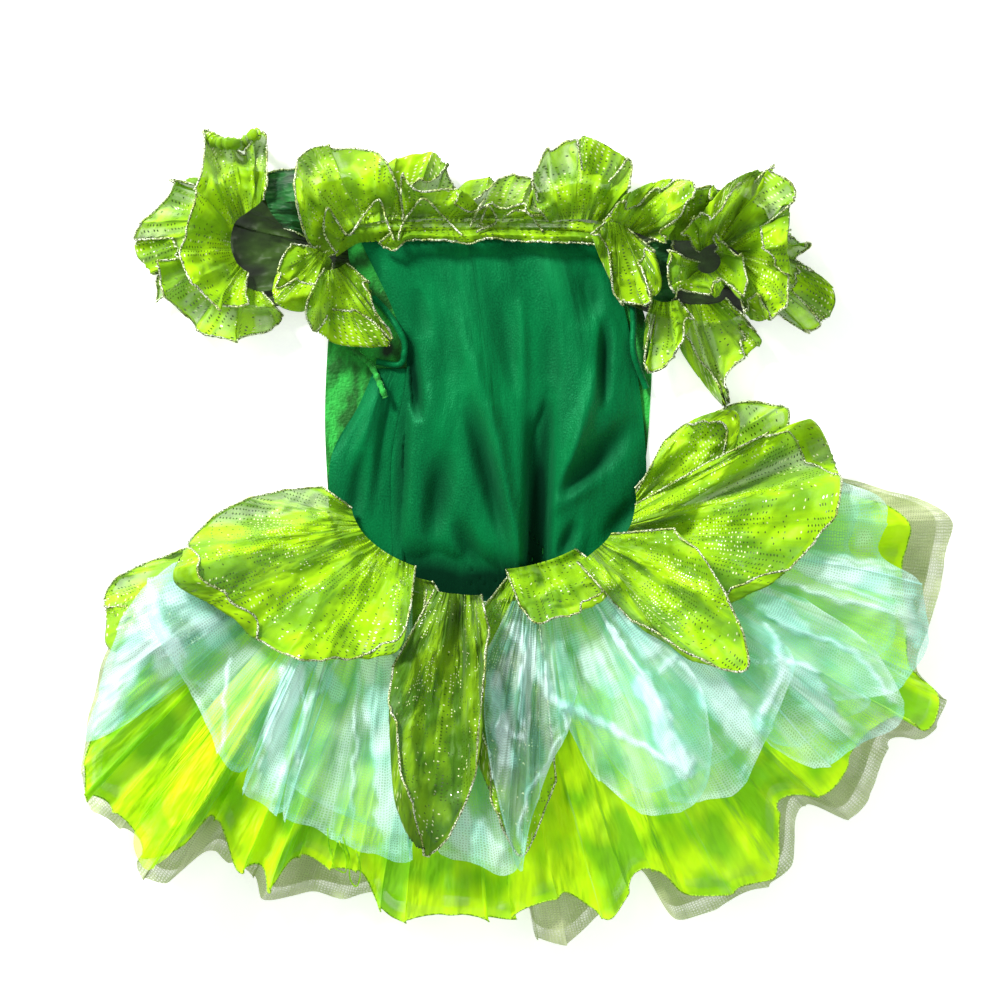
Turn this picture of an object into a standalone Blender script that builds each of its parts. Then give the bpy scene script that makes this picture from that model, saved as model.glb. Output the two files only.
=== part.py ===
"""A baby's fairy costume dress, laid out on the floor with its back up.

The floor is z = 0 and the neck points towards +Y. Every cloth piece is a wall that is swept
from its sewn edge (the seam) to its free edge (the hem), one table row for each fold. The
pieces are laid one after another, from the floor up, and each rests on those laid before it.

Places in the tables are steps of a plan grid that lies over the dress as it is laid out:
"across" counts to the right and "down" counts towards the hem. Heights are millimetres.
"""

import math
from collections import namedtuple

import bmesh
import bpy
import numpy as np

MM = 0.001

# The driving sizes
CHEST_WIDTH = 221 * MM  # the bodice laid flat, from side to side
CHEST_STEPS = 325  # the same width in steps of the plan grid
STEP = CHEST_WIDTH / CHEST_STEPS
GRID_CENTRE = (516.4, 537.1)  # the grid point over the origin

SEAM_GAP = 0.3 * MM
CONTACT = 0.6 * MM  # the most that is left under a piece where it lies on another
MOST_UPRIGHT = 3.0 * MM  # the wall's greatest height where it stands on a steep slope
HIDDEN_RISE = 0.5  # of a covered layer's folds
CORNERS = ((0, 0), (1, 0), (0, 1), (1, 1))  # of one mesh of a grid
VELVET = 1.8 * MM
SATIN = 1.3 * MM
ORGANZA = 1.0 * MM
TULLE = 1.0 * MM
BINDING_RADIUS = 2.2 * MM
BINDING_SIDES = 8

# The waist seam is the lower part of an ellipse, in steps and degrees from the right
WAIST_CENTRE = (484.0, 500.0)
WAIST_HALF = (158.0, 102.0)
WAIST_LEFT = 172.0
WAIST_RIGHT = 8.0

COLOURS = {
    "velvet": ((0.005, 0.28, 0.03), 0.8),
    "satin": ((0.0, 0.2, 0.07), 0.45),
    "organza": ((0.36, 0.62, 0.0), 0.5),
    "glitter_organza": ((0.32, 0.55, 0.02), 0.45),
    "net": ((0.45, 0.55, 0.25), 0.6),
    "aqua_tulle": ((0.42, 0.82, 0.72), 0.6),
}

# One fold of a gathered skirt layer: where its crest or valley meets the hem, and its height
Hem = namedtuple("Hem", "across down rise")
# One fold of a frill, flap or petal: where it starts on the seam, where it ends, its height
Fold = namedtuple("Fold", "seam_across seam_down hem_across hem_down rise")
# One length of the bodice: how far across it lies at the neck, armpit and belly, where it meets
# the waist, and its heights from the armpit down
Length = namedtuple("Length", "neck armpit belly waist_angle armpit_rise belly_rise waist_rise")
# A petal, or one lobe of the tulle: the part of the waist seam that it is sewn to, how far it
# puffs out over the bodice in mm, and its hem from fold to fold
Petal = namedtuple("Petal", "start_angle end_angle puff hem")

NET_HEM = [
    Hem(165, 575, 4), Hem(112, 640, 10), Hem(92, 700, 3), Hem(84, 745, 10), Hem(84, 800, 4),
    Hem(112, 822, 12), Hem(143, 845, 2), Hem(137, 870, 12), Hem(165, 882, 16), Hem(206, 852, 2),
    Hem(225, 860, 9), Hem(252, 876, 3), Hem(266, 900, 12), Hem(310, 893, 3), Hem(345, 899, 10),
    Hem(378, 892, 2), Hem(420, 904, 8), Hem(470, 910, 2), Hem(524, 903, 6), Hem(537, 938, 3),
    Hem(568, 942, 15), Hem(602, 912, 3), Hem(622, 903, 8), Hem(640, 870, 2), Hem(672, 916, 12),
    Hem(702, 915, 5), Hem(745, 893, 12), Hem(790, 870, 4), Hem(802, 808, 2), Hem(850, 818, 14),
    Hem(873, 790, 6), Hem(893, 742, 2), Hem(926, 737, 12), Hem(945, 702, 7), Hem(918, 668, 2),
    Hem(934, 612, 10), Hem(946, 560, 4), Hem(947, 513, 12), Hem(885, 489, 3), Hem(836, 476, 8),
]

ORGANZA_HEM = [
    Hem(172, 592, 3), Hem(118, 690, 8), Hem(90, 745, 3), Hem(87, 790, 9), Hem(110, 803, 3),
    Hem(140, 838, 6), Hem(150, 856, 16), Hem(186, 842, 12), Hem(214, 815, 2), Hem(236, 862, 10),
    Hem(262, 868, 4), Hem(272, 884, 12), Hem(296, 856, 3), Hem(330, 866, 9), Hem(360, 872, 3),
    Hem(384, 911, 8), Hem(402, 919, 11), Hem(440, 913, 3), Hem(478, 916, 9), Hem(505, 919, 4),
    Hem(530, 907, 8), Hem(562, 893, 3), Hem(590, 906, 9), Hem(612, 916, 12), Hem(638, 872, 2),
    Hem(662, 872, 9), Hem(690, 895, 5), Hem(740, 886, 14), Hem(776, 868, 9), Hem(782, 802, 2),
    Hem(830, 790, 10), Hem(852, 752, 3), Hem(892, 716, 7), Hem(926, 728, 12), Hem(936, 694, 5),
    Hem(912, 668, 2), Hem(905, 618, 8), Hem(902, 562, 3), Hem(906, 520, 9), Hem(850, 492, 3),
]

AQUA_HEM = [
    Hem(176, 562, 6), Hem(143, 590, 12), Hem(118, 634, 5), Hem(102, 690, 12), Hem(89, 738, 6),
    Hem(132, 720, 10), Hem(172, 696, 3), Hem(208, 730, 13), Hem(243, 772, 7), Hem(248, 792, 12),
    Hem(284, 811, 4), Hem(318, 830, 12), Hem(344, 842, 4), Hem(376, 853, 12), Hem(405, 857, 6),
    Hem(436, 850, 2), Hem(476, 862, 8), Hem(508, 873, 10), Hem(524, 852, 4), Hem(542, 792, 10),
    Hem(570, 736, 2), Hem(602, 752, 9), Hem(630, 792, 4), Hem(664, 813, 14), Hem(702, 796, 9),
    Hem(750, 772, 14), Hem(766, 742, 4), Hem(800, 762, 10), Hem(832, 760, 4), Hem(852, 738, 12),
    Hem(894, 722, 6), Hem(884, 684, 3), Hem(922, 652, 12), Hem(920, 606, 4), Hem(912, 578, 11),
    Hem(876, 552, 3), Hem(884, 504, 10), Hem(838, 482, 4),
]

# The pieces over the lime organza, in the order in which they lie on each other
LOBES = {
    "petal_far_left": Petal(168, 156, 0, [
        Hem(186, 548, 4), Hem(140, 566, 8), Hem(108, 586, 9), Hem(105, 622, 6), Hem(112, 650, 3),
        Hem(176, 656, 2),
    ]),
    "organza_roll": Petal(150, 145, 0, [
        Hem(196, 722, 4), Hem(160, 780, 12), Hem(136, 836, 16), Hem(150, 862, 10),
        Hem(174, 850, 16), Hem(208, 800, 12), Hem(238, 752, 4),
    ]),
    "tulle_centre": Petal(112, 82, 0, [
        Hem(412, 800, 3), Hem(440, 850, 5), Hem(476, 862, 8), Hem(508, 873, 10), Hem(524, 850, 4),
        Hem(534, 780, 3),
    ]),
    "petal_left_back": Petal(122, 111, 10, [
        Hem(388, 650, 3), Hem(412, 668, 8), Hem(434, 652, 12), Hem(444, 620, 12), Hem(444, 602, 9),
    ]),
    "petal_centre_back": Petal(112, 100, 4, [
        Hem(420, 640, 3), Hem(440, 668, 8), Hem(462, 660, 10), Hem(480, 632, 10), Hem(482, 608, 8),
    ]),
    "petal_right_long": Petal(80, 68, 16, [
        Hem(484, 606, 10), Hem(470, 650, 14), Hem(468, 700, 12), Hem(476, 756, 12),
        Hem(496, 806, 8), Hem(522, 852, 4), Hem(556, 780, 2),
    ]),
    "tulle_left_end": Petal(170, 156, 0, [
        Hem(176, 562, 6), Hem(143, 590, 12), Hem(118, 634, 5), Hem(102, 690, 12),
        Hem(89, 738, 6), Hem(130, 722, 10), Hem(168, 692, 4),
    ]),
    "tulle_left_mint": Petal(162, 138, 0, [
        Hem(150, 576, 10), Hem(156, 622, 14), Hem(186, 676, 6), Hem(212, 730, 10),
        Hem(236, 770, 14), Hem(262, 750, 8), Hem(292, 710, 3),
    ]),
    "tulle_left_front": Petal(140, 117, 0, [
        Hem(306, 720, 5), Hem(285, 808, 10), Hem(318, 828, 4), Hem(346, 842, 12),
        Hem(376, 853, 6), Hem(410, 856, 12), Hem(415, 784, 6), Hem(414, 700, 3),
    ]),
    "tulle_left_fold": Petal(150, 146, 0, [
        Hem(288, 666, 4), Hem(262, 734, 8), Hem(246, 788, 12), Hem(264, 802, 10),
        Hem(286, 808, 12), Hem(302, 760, 10), Hem(320, 692, 4),
    ]),
    "tulle_right_end": Petal(24, 8, 0, [
        Hem(842, 700, 4), Hem(890, 690, 8), Hem(922, 652, 12), Hem(924, 610, 5),
        Hem(914, 578, 12), Hem(878, 552, 4), Hem(884, 504, 9), Hem(838, 480, 4),
    ]),
    "tulle_right_side": Petal(36, 18, 0, [
        Hem(766, 742, 6), Hem(800, 762, 12), Hem(832, 762, 4), Hem(856, 744, 10),
        Hem(894, 724, 14), Hem(896, 690, 8), Hem(862, 640, 12), Hem(806, 600, 4),
    ]),
    "tulle_right_front": Petal(52, 30, 0, [
        Hem(668, 800, 6), Hem(702, 798, 14), Hem(740, 786, 10), Hem(766, 730, 16),
        Hem(791, 662, 18), Hem(762, 626, 6),
    ]),
    "tulle_right_lobe": Petal(66, 44, 0, [
        Hem(566, 722, 4), Hem(590, 768, 8), Hem(622, 798, 6), Hem(650, 813, 14),
        Hem(690, 802, 8), Hem(708, 770, 16), Hem(704, 700, 10), Hem(678, 650, 4),
    ]),
    "tulle_right_swirl": Petal(80, 64, 0, [
        Hem(487, 648, 8), Hem(484, 700, 16), Hem(492, 770, 8), Hem(506, 826, 12),
        Hem(520, 866, 6), Hem(530, 820, 12), Hem(548, 770, 6), Hem(566, 730, 14), Hem(576, 692, 4),
    ]),
    "petal_centre": Petal(109, 91, 5, [
        Hem(393, 668, 5), Hem(390, 720, 12), Hem(398, 808, 16), Hem(428, 850, 14),
        Hem(452, 828, 8), Hem(478, 762, 14), Hem(486, 680, 15), Hem(489, 626, 9),
    ]),
    "petal_right_small": Petal(80, 44, 22, [
        Hem(520, 606, 6), Hem(538, 624, 14), Hem(558, 616, 8), Hem(580, 610, 15),
        Hem(602, 602, 8), Hem(616, 580, 12),
    ]),
    "petal_right_rear": Petal(13, -7, 4, [
        Hem(690, 500, 3), Hem(742, 470, 10), Hem(784, 438, 6), Hem(786, 410, 12),
        Hem(744, 402, 10), Hem(690, 426, 4),
    ]),
    "petal_right_upper": Petal(15, -4, 4, [
        Hem(664, 514, 3), Hem(704, 490, 9), Hem(732, 458, 14), Hem(738, 412, 10),
        Hem(700, 416, 15), Hem(664, 440, 6),
    ]),
    "petal_right_big": Petal(30, 3, 5, [
        Hem(722, 606, 4), Hem(770, 582, 10), Hem(812, 542, 14), Hem(836, 500, 10),
        Hem(834, 458, 14), Hem(814, 420, 18), Hem(772, 432, 12), Hem(708, 462, 4),
    ]),
    "petal_right_crescent": Petal(48, 24, 13, [
        Hem(614, 602, 2), Hem(640, 628, 3), Hem(664, 642, 6), Hem(692, 660, 18),
        Hem(745, 664, 14), Hem(727, 604, 20), Hem(702, 558, 22), Hem(674, 528, 14),
    ]),
    "petal_left_big": Petal(174, 121, 17, [
        Hem(322, 487, 6), Hem(268, 493, 16), Hem(212, 518, 20), Hem(176, 576, 12),
        Hem(218, 606, 6), Hem(262, 640, 14), Hem(300, 656, 20), Hem(350, 658, 22),
        Hem(398, 650, 18), Hem(412, 604, 14),
    ]),
}

# Frills of the neck. The first lies under the bodice's back, on the front neck edge.
NECK_FRONT_FRILL = [
    Fold(300, 236, 262, 196, 4), Fold(330, 230, 316, 182, 10), Fold(362, 226, 356, 176, 4),
    Fold(386, 224, 396, 158, 12), Fold(412, 223, 438, 153, 10), Fold(440, 222, 454, 186, 3),
    Fold(462, 222, 474, 178, 9), Fold(500, 222, 526, 176, 9), Fold(530, 222, 538, 192, 3),
    Fold(570, 223, 580, 182, 9), Fold(610, 225, 622, 190, 4), Fold(650, 230, 676, 192, 10),
    Fold(678, 236, 716, 192, 5),
]

FRILLS = {
    "neck_casing": [
        Fold(336, 256, 330, 236, 2), Fold(356, 243, 350, 226, 4), Fold(372, 241, 368, 223, 2),
        Fold(392, 240, 390, 220, 5), Fold(412, 239, 412, 221, 2), Fold(434, 239, 434, 219, 5),
        Fold(456, 238, 456, 221, 2), Fold(480, 238, 480, 219, 5), Fold(504, 238, 504, 221, 2),
        Fold(528, 238, 528, 219, 5), Fold(550, 239, 552, 221, 2), Fold(572, 240, 574, 220, 5),
        Fold(592, 241, 596, 223, 2), Fold(610, 244, 618, 226, 4), Fold(624, 252, 636, 234, 2),
    ],
    "neck_flap_left": [
        Fold(338, 250, 322, 264, 3), Fold(341, 242, 303, 228, 12), Fold(345, 234, 297, 184, 18),
        Fold(352, 228, 304, 151, 20), Fold(362, 224, 334, 148, 22), Fold(373, 222, 366, 150, 20),
        Fold(384, 220, 388, 166, 16), Fold(394, 219, 399, 194, 10), Fold(402, 219, 406, 208, 3),
    ],
    "neck_frill_middle": [
        Fold(404, 219, 404, 176, 6), Fold(416, 219, 420, 190, 14), Fold(430, 218, 450, 192, 8),
        Fold(446, 218, 468, 194, 14), Fold(460, 218, 480, 206, 6), Fold(474, 218, 490, 202, 12),
        Fold(488, 218, 498, 206, 5), Fold(502, 218, 510, 208, 12), Fold(516, 218, 524, 204, 5),
        Fold(532, 219, 534, 210, 11), Fold(546, 219, 548, 212, 4),
    ],
    "neck_flap_right": [
        Fold(548, 221, 534, 206, 3), Fold(556, 220, 533, 176, 14), Fold(564, 219, 546, 154, 20),
        Fold(572, 219, 568, 140, 22), Fold(580, 219, 592, 138, 22), Fold(588, 219, 614, 150, 18),
        Fold(596, 220, 632, 162, 14), Fold(603, 221, 628, 190, 16), Fold(610, 223, 624, 206, 5),
    ],
    "neck_flap_right_end": [
        Fold(612, 232, 606, 216, 4), Fold(618, 231, 632, 192, 14), Fold(626, 231, 662, 180, 16),
        Fold(634, 232, 692, 184, 10), Fold(641, 234, 682, 214, 16), Fold(648, 237, 664, 242, 5),
    ],
    "neck_frill_lower": [
        Fold(392, 232, 380, 244, 3), Fold(401, 232, 394, 250, 8), Fold(412, 231, 408, 240, 3),
        Fold(440, 230, 440, 240, 8), Fold(460, 230, 470, 243, 4), Fold(480, 229, 488, 238, 8),
        Fold(510, 229, 514, 240, 4), Fold(540, 230, 546, 242, 8), Fold(570, 231, 574, 242, 4),
        Fold(592, 233, 596, 244, 8),
    ],
    "neck_flap_down_right": [
        Fold(604, 224, 590, 234, 4), Fold(608, 223, 604, 268, 10), Fold(613, 223, 621, 302, 12),
        Fold(618, 224, 642, 304, 14), Fold(623, 226, 661, 290, 12), Fold(628, 229, 656, 252, 6),
    ],
    "neck_flap_down_left": [
        Fold(332, 262, 329, 284, 3), Fold(330, 258, 318, 300, 10), Fold(326, 254, 300, 313, 14),
        Fold(322, 252, 274, 300, 14), Fold(318, 250, 280, 262, 12), Fold(316, 248, 290, 247, 5),
    ],
    "neck_leaf_down_left": [
        Fold(346, 262, 368, 282, 4), Fold(340, 266, 376, 312, 12), Fold(336, 268, 392, 341, 10),
        Fold(331, 270, 342, 346, 16), Fold(327, 270, 308, 322, 12), Fold(324, 268, 312, 290, 4),
    ],
}

LEFT_SLEEVE = {
    "sleeve_left_cap": [
        Fold(346, 232, 282, 172, 3), Fold(346, 240, 236, 172, 6), Fold(347, 248, 200, 204, 3),
        Fold(348, 256, 190, 250, 6), Fold(350, 264, 214, 296, 3), Fold(352, 272, 262, 306, 6),
        Fold(354, 280, 318, 306, 2),
    ],
    "sleeve_left_band": [
        Fold(262, 174, 300, 166, 4), Fold(264, 186, 302, 182, 8), Fold(266, 200, 303, 200, 10),
        Fold(272, 214, 306, 218, 8), Fold(284, 228, 308, 236, 4),
    ],
    "sleeve_left_ruffle_rear": [
        Fold(232, 196, 206, 176, 5), Fold(226, 204, 180, 180, 12), Fold(222, 212, 158, 204, 6),
        Fold(220, 222, 135, 232, 14), Fold(218, 232, 136, 256, 6), Fold(218, 242, 152, 274, 12),
        Fold(220, 252, 156, 294, 5),
    ],
    "sleeve_left_ruffle_lower": [
        Fold(228, 252, 158, 268, 8), Fold(230, 262, 168, 298, 16), Fold(233, 272, 192, 322, 8),
        Fold(238, 280, 204, 336, 14), Fold(246, 286, 238, 339, 6), Fold(254, 290, 268, 330, 12),
        Fold(262, 292, 284, 314, 4),
    ],
    "sleeve_left_ruffle_front": [
        Fold(264, 200, 268, 176, 4), Fold(257, 206, 264, 130, 14), Fold(250, 210, 244, 152, 8),
        Fold(244, 214, 228, 142, 14), Fold(238, 218, 206, 130, 8), Fold(234, 224, 204, 158, 18),
        Fold(231, 232, 196, 200, 22), Fold(230, 242, 188, 236, 18), Fold(232, 252, 182, 258, 10),
        Fold(236, 262, 200, 292, 20), Fold(242, 268, 222, 308, 16), Fold(248, 272, 246, 304, 6),
    ],
}

RIGHT_SLEEVE = {
    "sleeve_right_cap": [
        Fold(618, 300, 668, 318, 2), Fold(616, 288, 722, 320, 5), Fold(614, 276, 768, 302, 3),
        Fold(612, 264, 780, 256, 6), Fold(610, 252, 762, 206, 3), Fold(608, 240, 714, 188, 6),
        Fold(606, 230, 660, 204, 2),
    ],
    "sleeve_right_band": [
        Fold(640, 246, 668, 236, 3), Fold(640, 260, 676, 254, 6), Fold(642, 274, 680, 274, 8),
        Fold(644, 290, 676, 296, 6), Fold(648, 304, 668, 312, 3),
    ],
    "sleeve_right_net": [
        Fold(668, 240, 668, 200, 3), Fold(680, 240, 682, 190, 6), Fold(694, 240, 706, 188, 3),
        Fold(708, 240, 728, 194, 6),
    ],
    "sleeve_right_leaf": [
        Fold(672, 300, 676, 330, 4), Fold(680, 302, 684, 356, 8), Fold(690, 304, 726, 408, 4),
        Fold(700, 304, 728, 378, 10), Fold(710, 304, 752, 352, 5), Fold(720, 302, 762, 340, 10),
        Fold(726, 298, 744, 316, 3),
    ],
    "sleeve_right_tail": [
        Fold(738, 270, 772, 308, 4), Fold(742, 266, 790, 322, 8), Fold(746, 262, 814, 331, 14),
        Fold(750, 258, 834, 308, 8), Fold(752, 252, 832, 286, 14), Fold(754, 246, 802, 260, 5),
        Fold(754, 240, 806, 248, 12), Fold(752, 234, 790, 232, 4),
    ],
    "sleeve_right_leaf_inner": [
        Fold(652, 298, 646, 322, 3), Fold(656, 300, 644, 350, 8), Fold(662, 302, 652, 374, 10),
        Fold(670, 302, 676, 352, 16), Fold(678, 300, 694, 320, 8),
    ],
    "sleeve_right_ruffle_upper": [
        Fold(700, 252, 684, 228, 6), Fold(704, 248, 702, 212, 12), Fold(709, 245, 728, 184, 16),
        Fold(716, 243, 764, 168, 10), Fold(723, 243, 790, 184, 18), Fold(730, 246, 790, 216, 12),
        Fold(736, 250, 786, 246, 18), Fold(741, 256, 790, 276, 10), Fold(744, 264, 782, 304, 20),
        Fold(742, 272, 762, 322, 14), Fold(736, 278, 744, 316, 5),
    ],
    "sleeve_right_ruffle_front": [
        Fold(700, 262, 668, 252, 5), Fold(698, 266, 666, 280, 14), Fold(700, 270, 678, 292, 8),
        Fold(706, 273, 712, 296, 16), Fold(713, 272, 726, 286, 8), Fold(718, 268, 740, 300, 16),
        Fold(721, 262, 746, 276, 10), Fold(720, 256, 736, 254, 14), Fold(716, 252, 718, 238, 5),
    ],
}

# The frills whose folds are close enough in the table already
NEAR_FLAT = ("neck_casing", "neck_frill_lower")

# The bodice's back: its folds run down into one deep fold at the waist
BACK_LENGTHS = [
    Length(354, 405, 391, 125, 1, 0, 0), Length(374, 418, 404, 119, 4, 5, 4),
    Length(394, 432, 418, 113, 6, 8, 7), Length(412, 446, 434, 106, 5, 7, 4),
    Length(430, 458, 450, 99, 6, 9, 7), Length(446, 470, 468, 92, 8, 11, 8),
    Length(462, 482, 488, 85, 9, 12, 9), Length(478, 496, 508, 79, 7, 13, 13),
    Length(494, 512, 522, 75, 5, 12, 14), Length(510, 530, 533, 72, 5, 3, 2),
    Length(526, 548, 544, 69, 6, 3, 2), Length(540, 564, 557, 65, 8, 10, 10),
    Length(556, 582, 577, 57, 9, 12, 10), Length(572, 600, 600, 46, 8, 9, 7),
    Length(588, 618, 624, 28, 5, 6, 4), Length(604, 634, 647, 8, 1, 0, 0),
]
BACK_LEVELS = (238, 350, 462)  # how far down its neck, armpit and belly lie

SIDE_LENGTHS = [
    Length(374, 358, 331, 171, 2, 2, 1), Length(381, 367, 347, 160, 4, 4, 4),
    Length(388, 376, 363, 149, 5, 6, 2), Length(394, 385, 377, 138, 4, 4, 3),
    Length(400, 392, 389, 127, 1, 0, 0),
]
SIDE_LEVELS = (368, 405, 455)

FRONT_LENGTHS = [
    Length(350, 328, 324, 171, 0, 0, 0), Length(390, 372, 366, 149, 0, 0, 0),
    Length(430, 415, 410, 125, 0, 0, 0), Length(520, 530, 535, 76, 0, 0, 0),
    Length(604, 640, 650, 8, 0, 0, 0),
]
FRONT_LEVELS = (246, 330, 420)

# The rolled bindings of the armholes, as places on the grid with a height for each
LEFT_BINDING = [(372, 296, 0), (387, 312, 0), (402, 336, 1), (404, 352, 1), (398, 364, 1), (376, 361, 0)]
RIGHT_BINDING = [(612, 262, 0), (630, 290, 1), (634, 320, 1), (634, 352, 1), (647, 388, 0)]


def on_grid(across, down):
    """Metres from the origin, of one place or of arrays of places on the plan grid."""
    return (across - GRID_CENTRE[0]) * STEP, (GRID_CENTRE[1] - down) * STEP


def waist_point(degrees, outward):
    """The place on the waist seam at an angle from the right, moved outward by a distance."""
    angle = np.radians(degrees)
    across = WAIST_CENTRE[0] + (WAIST_HALF[0] + outward / STEP) * np.cos(angle)
    down = WAIST_CENTRE[1] + (WAIST_HALF[1] + outward / STEP) * np.sin(angle)
    return np.stack(on_grid(across, down), axis=-1)


def eased_rows(rows, per_row):
    """The table's rows as an array, with smooth rows put in so that each gap has per_row steps."""
    table = np.array(rows, float)
    ends = np.vstack([2 * table[0] - table[1], table, 2 * table[-1] - table[-2]])
    places = np.linspace(0, len(table) - 1, (len(table) - 1) * per_row + 1)
    first = np.minimum(places.astype(int), len(table) - 2)
    t = (places - first)[:, None]
    p0, p1, p2, p3 = (ends[first + k] for k in range(4))
    return p1 + 0.5 * t * (p2 - p0 + t * (2 * p0 - 5 * p1 + 4 * p2 - p3 + t * (3 * (p1 - p2) + p3 - p0)))


def swept(seam, hem, rise, belly, steps):
    """A grid of points from seam to hem. It leaves the seam flat and ends at the fold's rise."""
    v = np.linspace(0, 1, steps + 1)
    plan = seam[:, None] + (hem - seam)[:, None] * v[:, None]
    height = rise[:, None] * v ** 1.6 + belly * np.sin(math.pi * v) ** 2
    return np.dstack([plan, height * MM])


def neighbour_mean(heights):
    """Each height averaged with its neighbours along and across the piece."""
    padded = np.pad(heights, 1, mode="edge")
    beside = padded[:-2, 1:-1] + padded[2:, 1:-1] + padded[1:-1, :-2] + padded[1:-1, 2:]
    return 0.5 * heights + 0.125 * beside


def filled(surface, spacing):
    """Points all over the two triangles of each mesh of the grid, and their shares of its corners."""
    longest = max(np.linalg.norm(np.diff(surface[..., :2], axis=k), axis=-1).max() for k in (0, 1))
    places = np.linspace(0, 1, int(math.ceil(longest / spacing)) + 1)
    u, v = (axis.ravel() for axis in np.meshgrid(places, places, indexing="ij"))
    beyond = np.maximum(u - v, 0)
    short = np.maximum(v - u, 0)
    shares = np.stack([1 - np.maximum(u, v), beyond, short, np.minimum(u, v)], axis=1)
    rows, columns = surface.shape[0] - 1, surface.shape[1] - 1
    corners = [surface[i:i + rows, j:j + columns] for i, j in CORNERS]
    return np.einsum("sk,kijc->ijsc", shares, np.array(corners)), shares


class Pile:
    """The height of all that is laid so far, over the floor."""

    CELL = 1.0 * MM
    HALF_SIDE = 340 * MM
    EASING = 4
    ROUNDS = 12

    def __init__(self):
        count = int(2 * self.HALF_SIDE / self.CELL) + 1
        self.top = np.zeros((count, count))

    def cells(self, points):
        index = np.rint((points[..., :2] + self.HALF_SIDE) / self.CELL).astype(int)
        return index[..., 0], index[..., 1]

    def lay(self, surface):
        """Adds the upper side of a piece."""
        points, _ = filled(surface, self.CELL * 0.7)
        np.maximum.at(self.top, self.cells(points), points[..., 2])

    def clearance(self):
        """The lowest that a piece may lie at each cell: the floor, or a gap over what is there."""
        highest = self.top.copy()
        for i in (-1, 0, 1):
            for j in (-1, 0, 1):
                highest = np.maximum(highest, np.roll(self.top, (i, j), (0, 1)))
        return np.where(highest > 0, highest + SEAM_GAP, 0)

    def lack(self, lowest, surface):
        """How far each point of the grid has to rise for the piece to clear the pile."""
        points, shares = filled(surface, self.CELL)
        missing = np.maximum(lowest[self.cells(points)] - points[..., 2], 0)
        pull = shares / (shares ** 2).sum(axis=1, keepdims=True)
        rise = np.zeros(surface.shape[:2])
        rows, columns = rise.shape[0] - 1, rise.shape[1] - 1
        for k, (i, j) in enumerate(CORNERS):
            corner = rise[i:i + rows, j:j + columns]
            np.maximum(corner, (missing * pull[:, k]).max(axis=2), out=corner)
        return rise

    def draped(self, surface):
        """The piece moved up so that it lies on the pile, with no sudden step in it."""
        lowest = self.clearance()
        needed = lowest[self.cells(surface)]
        heights = needed.copy()
        for _ in range(self.EASING):
            heights = np.maximum(needed, neighbour_mean(heights))
            heights[:, 0] = needed[:, 0]
        lifted = surface.copy()
        lifted[..., 2] += heights
        for _ in range(self.ROUNDS):
            lifted[..., 2] += self.lack(lowest, lifted)
        return self.settled(lifted)

    def settled(self, surface):
        """The whole piece let down until its lowest gap over the pile is a contact."""
        points, _ = filled(surface, self.CELL)
        below = self.top[self.cells(points)]
        gap = (points[..., 2] - below)[below > 0]
        if gap.size:
            surface[..., 2] -= max(0, min(gap.min() - CONTACT, surface[..., 2].min()))
        return surface


def upper_side(lower, thickness):
    """The wall's other side: straight above, further on a slope, so that the wall stays even."""
    along = np.gradient(lower, axis=0)
    out = np.gradient(lower, axis=1)
    normal = np.cross(along, out)
    steepness = np.linalg.norm(normal, axis=-1) / np.maximum(np.abs(normal[..., 2]), 1e-12)
    upper = lower.copy()
    upper[..., 2] += np.minimum(thickness * steepness, MOST_UPRIGHT)
    return upper


def material_named(name):
    material = bpy.data.materials.get(name)
    if material is None:
        colour, roughness = COLOURS[name]
        material = bpy.data.materials.new(name)
        material.use_nodes = True
        shader = material.node_tree.nodes["Principled BSDF"]
        shader.inputs["Base Color"].default_value = (*colour, 1)
        shader.inputs["Roughness"].default_value = roughness
        shader.inputs["Metallic"].default_value = 0
    return material


def add_object(name, vertices, faces, material):
    mesh = bpy.data.meshes.new(name)
    mesh.from_pydata([tuple(v) for v in vertices], [], faces)
    shape = bmesh.new()
    shape.from_mesh(mesh)
    bmesh.ops.recalc_face_normals(shape, faces=shape.faces)
    shape.to_mesh(mesh)
    shape.free()
    mesh.materials.append(material_named(material))
    mesh.shade_smooth()
    mesh.set_sharp_from_angle(angle=math.radians(50))
    obj = bpy.data.objects.new(name, mesh)
    bpy.context.scene.collection.objects.link(obj)
    return obj


def add_wall(name, lower, thickness, material):
    """Builds the closed wall over a grid of points, and gives back its upper points."""
    upper = upper_side(lower, thickness)
    rows, columns = lower.shape[:2]
    count = rows * columns

    def index(i, j, side):
        return side * count + i * columns + j

    faces = []
    for i in range(rows - 1):
        for j in range(columns - 1):
            near, far = (i, j), (i + 1, j + 1)
            for corners in ((near, (i + 1, j), far), (near, far, (i, j + 1))):
                faces.append([index(a, b, 0) for a, b in corners])
                faces.append([index(a, b, 1) for a, b in reversed(corners)])
    rim = [(i, 0) for i in range(rows)]
    rim += [(rows - 1, j) for j in range(1, columns)]
    rim += [(i, columns - 1) for i in range(rows - 2, -1, -1)]
    rim += [(0, j) for j in range(columns - 2, 0, -1)]
    for (a, b), (c, d) in zip(rim, rim[1:] + rim[:1]):
        faces.append([index(a, b, 0), index(a, b, 1), index(c, d, 1), index(c, d, 0)])
    vertices = np.concatenate([lower.reshape(-1, 3), upper.reshape(-1, 3)])
    add_object(name, vertices, faces, material)
    return upper


def lay_piece(pile, name, surface, thickness, material):
    """Drapes one piece over the pile, builds it and adds it to the pile."""
    pile.lay(add_wall(name, pile.draped(surface), thickness, material))


def waist_layer(start_angle, end_angle, outward, hems, per_row, steps, belly):
    """A petal, or a gathered half of the skirt, from the waist seam to the hem in the table."""
    rows = eased_rows(hems, per_row)
    seam = waist_point(np.linspace(start_angle, end_angle, len(rows)), outward)
    hem = np.stack(on_grid(rows[:, 0], rows[:, 1]), axis=-1)
    return swept(seam, hem, np.maximum(rows[:, 2], 0), belly, steps)


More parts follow.
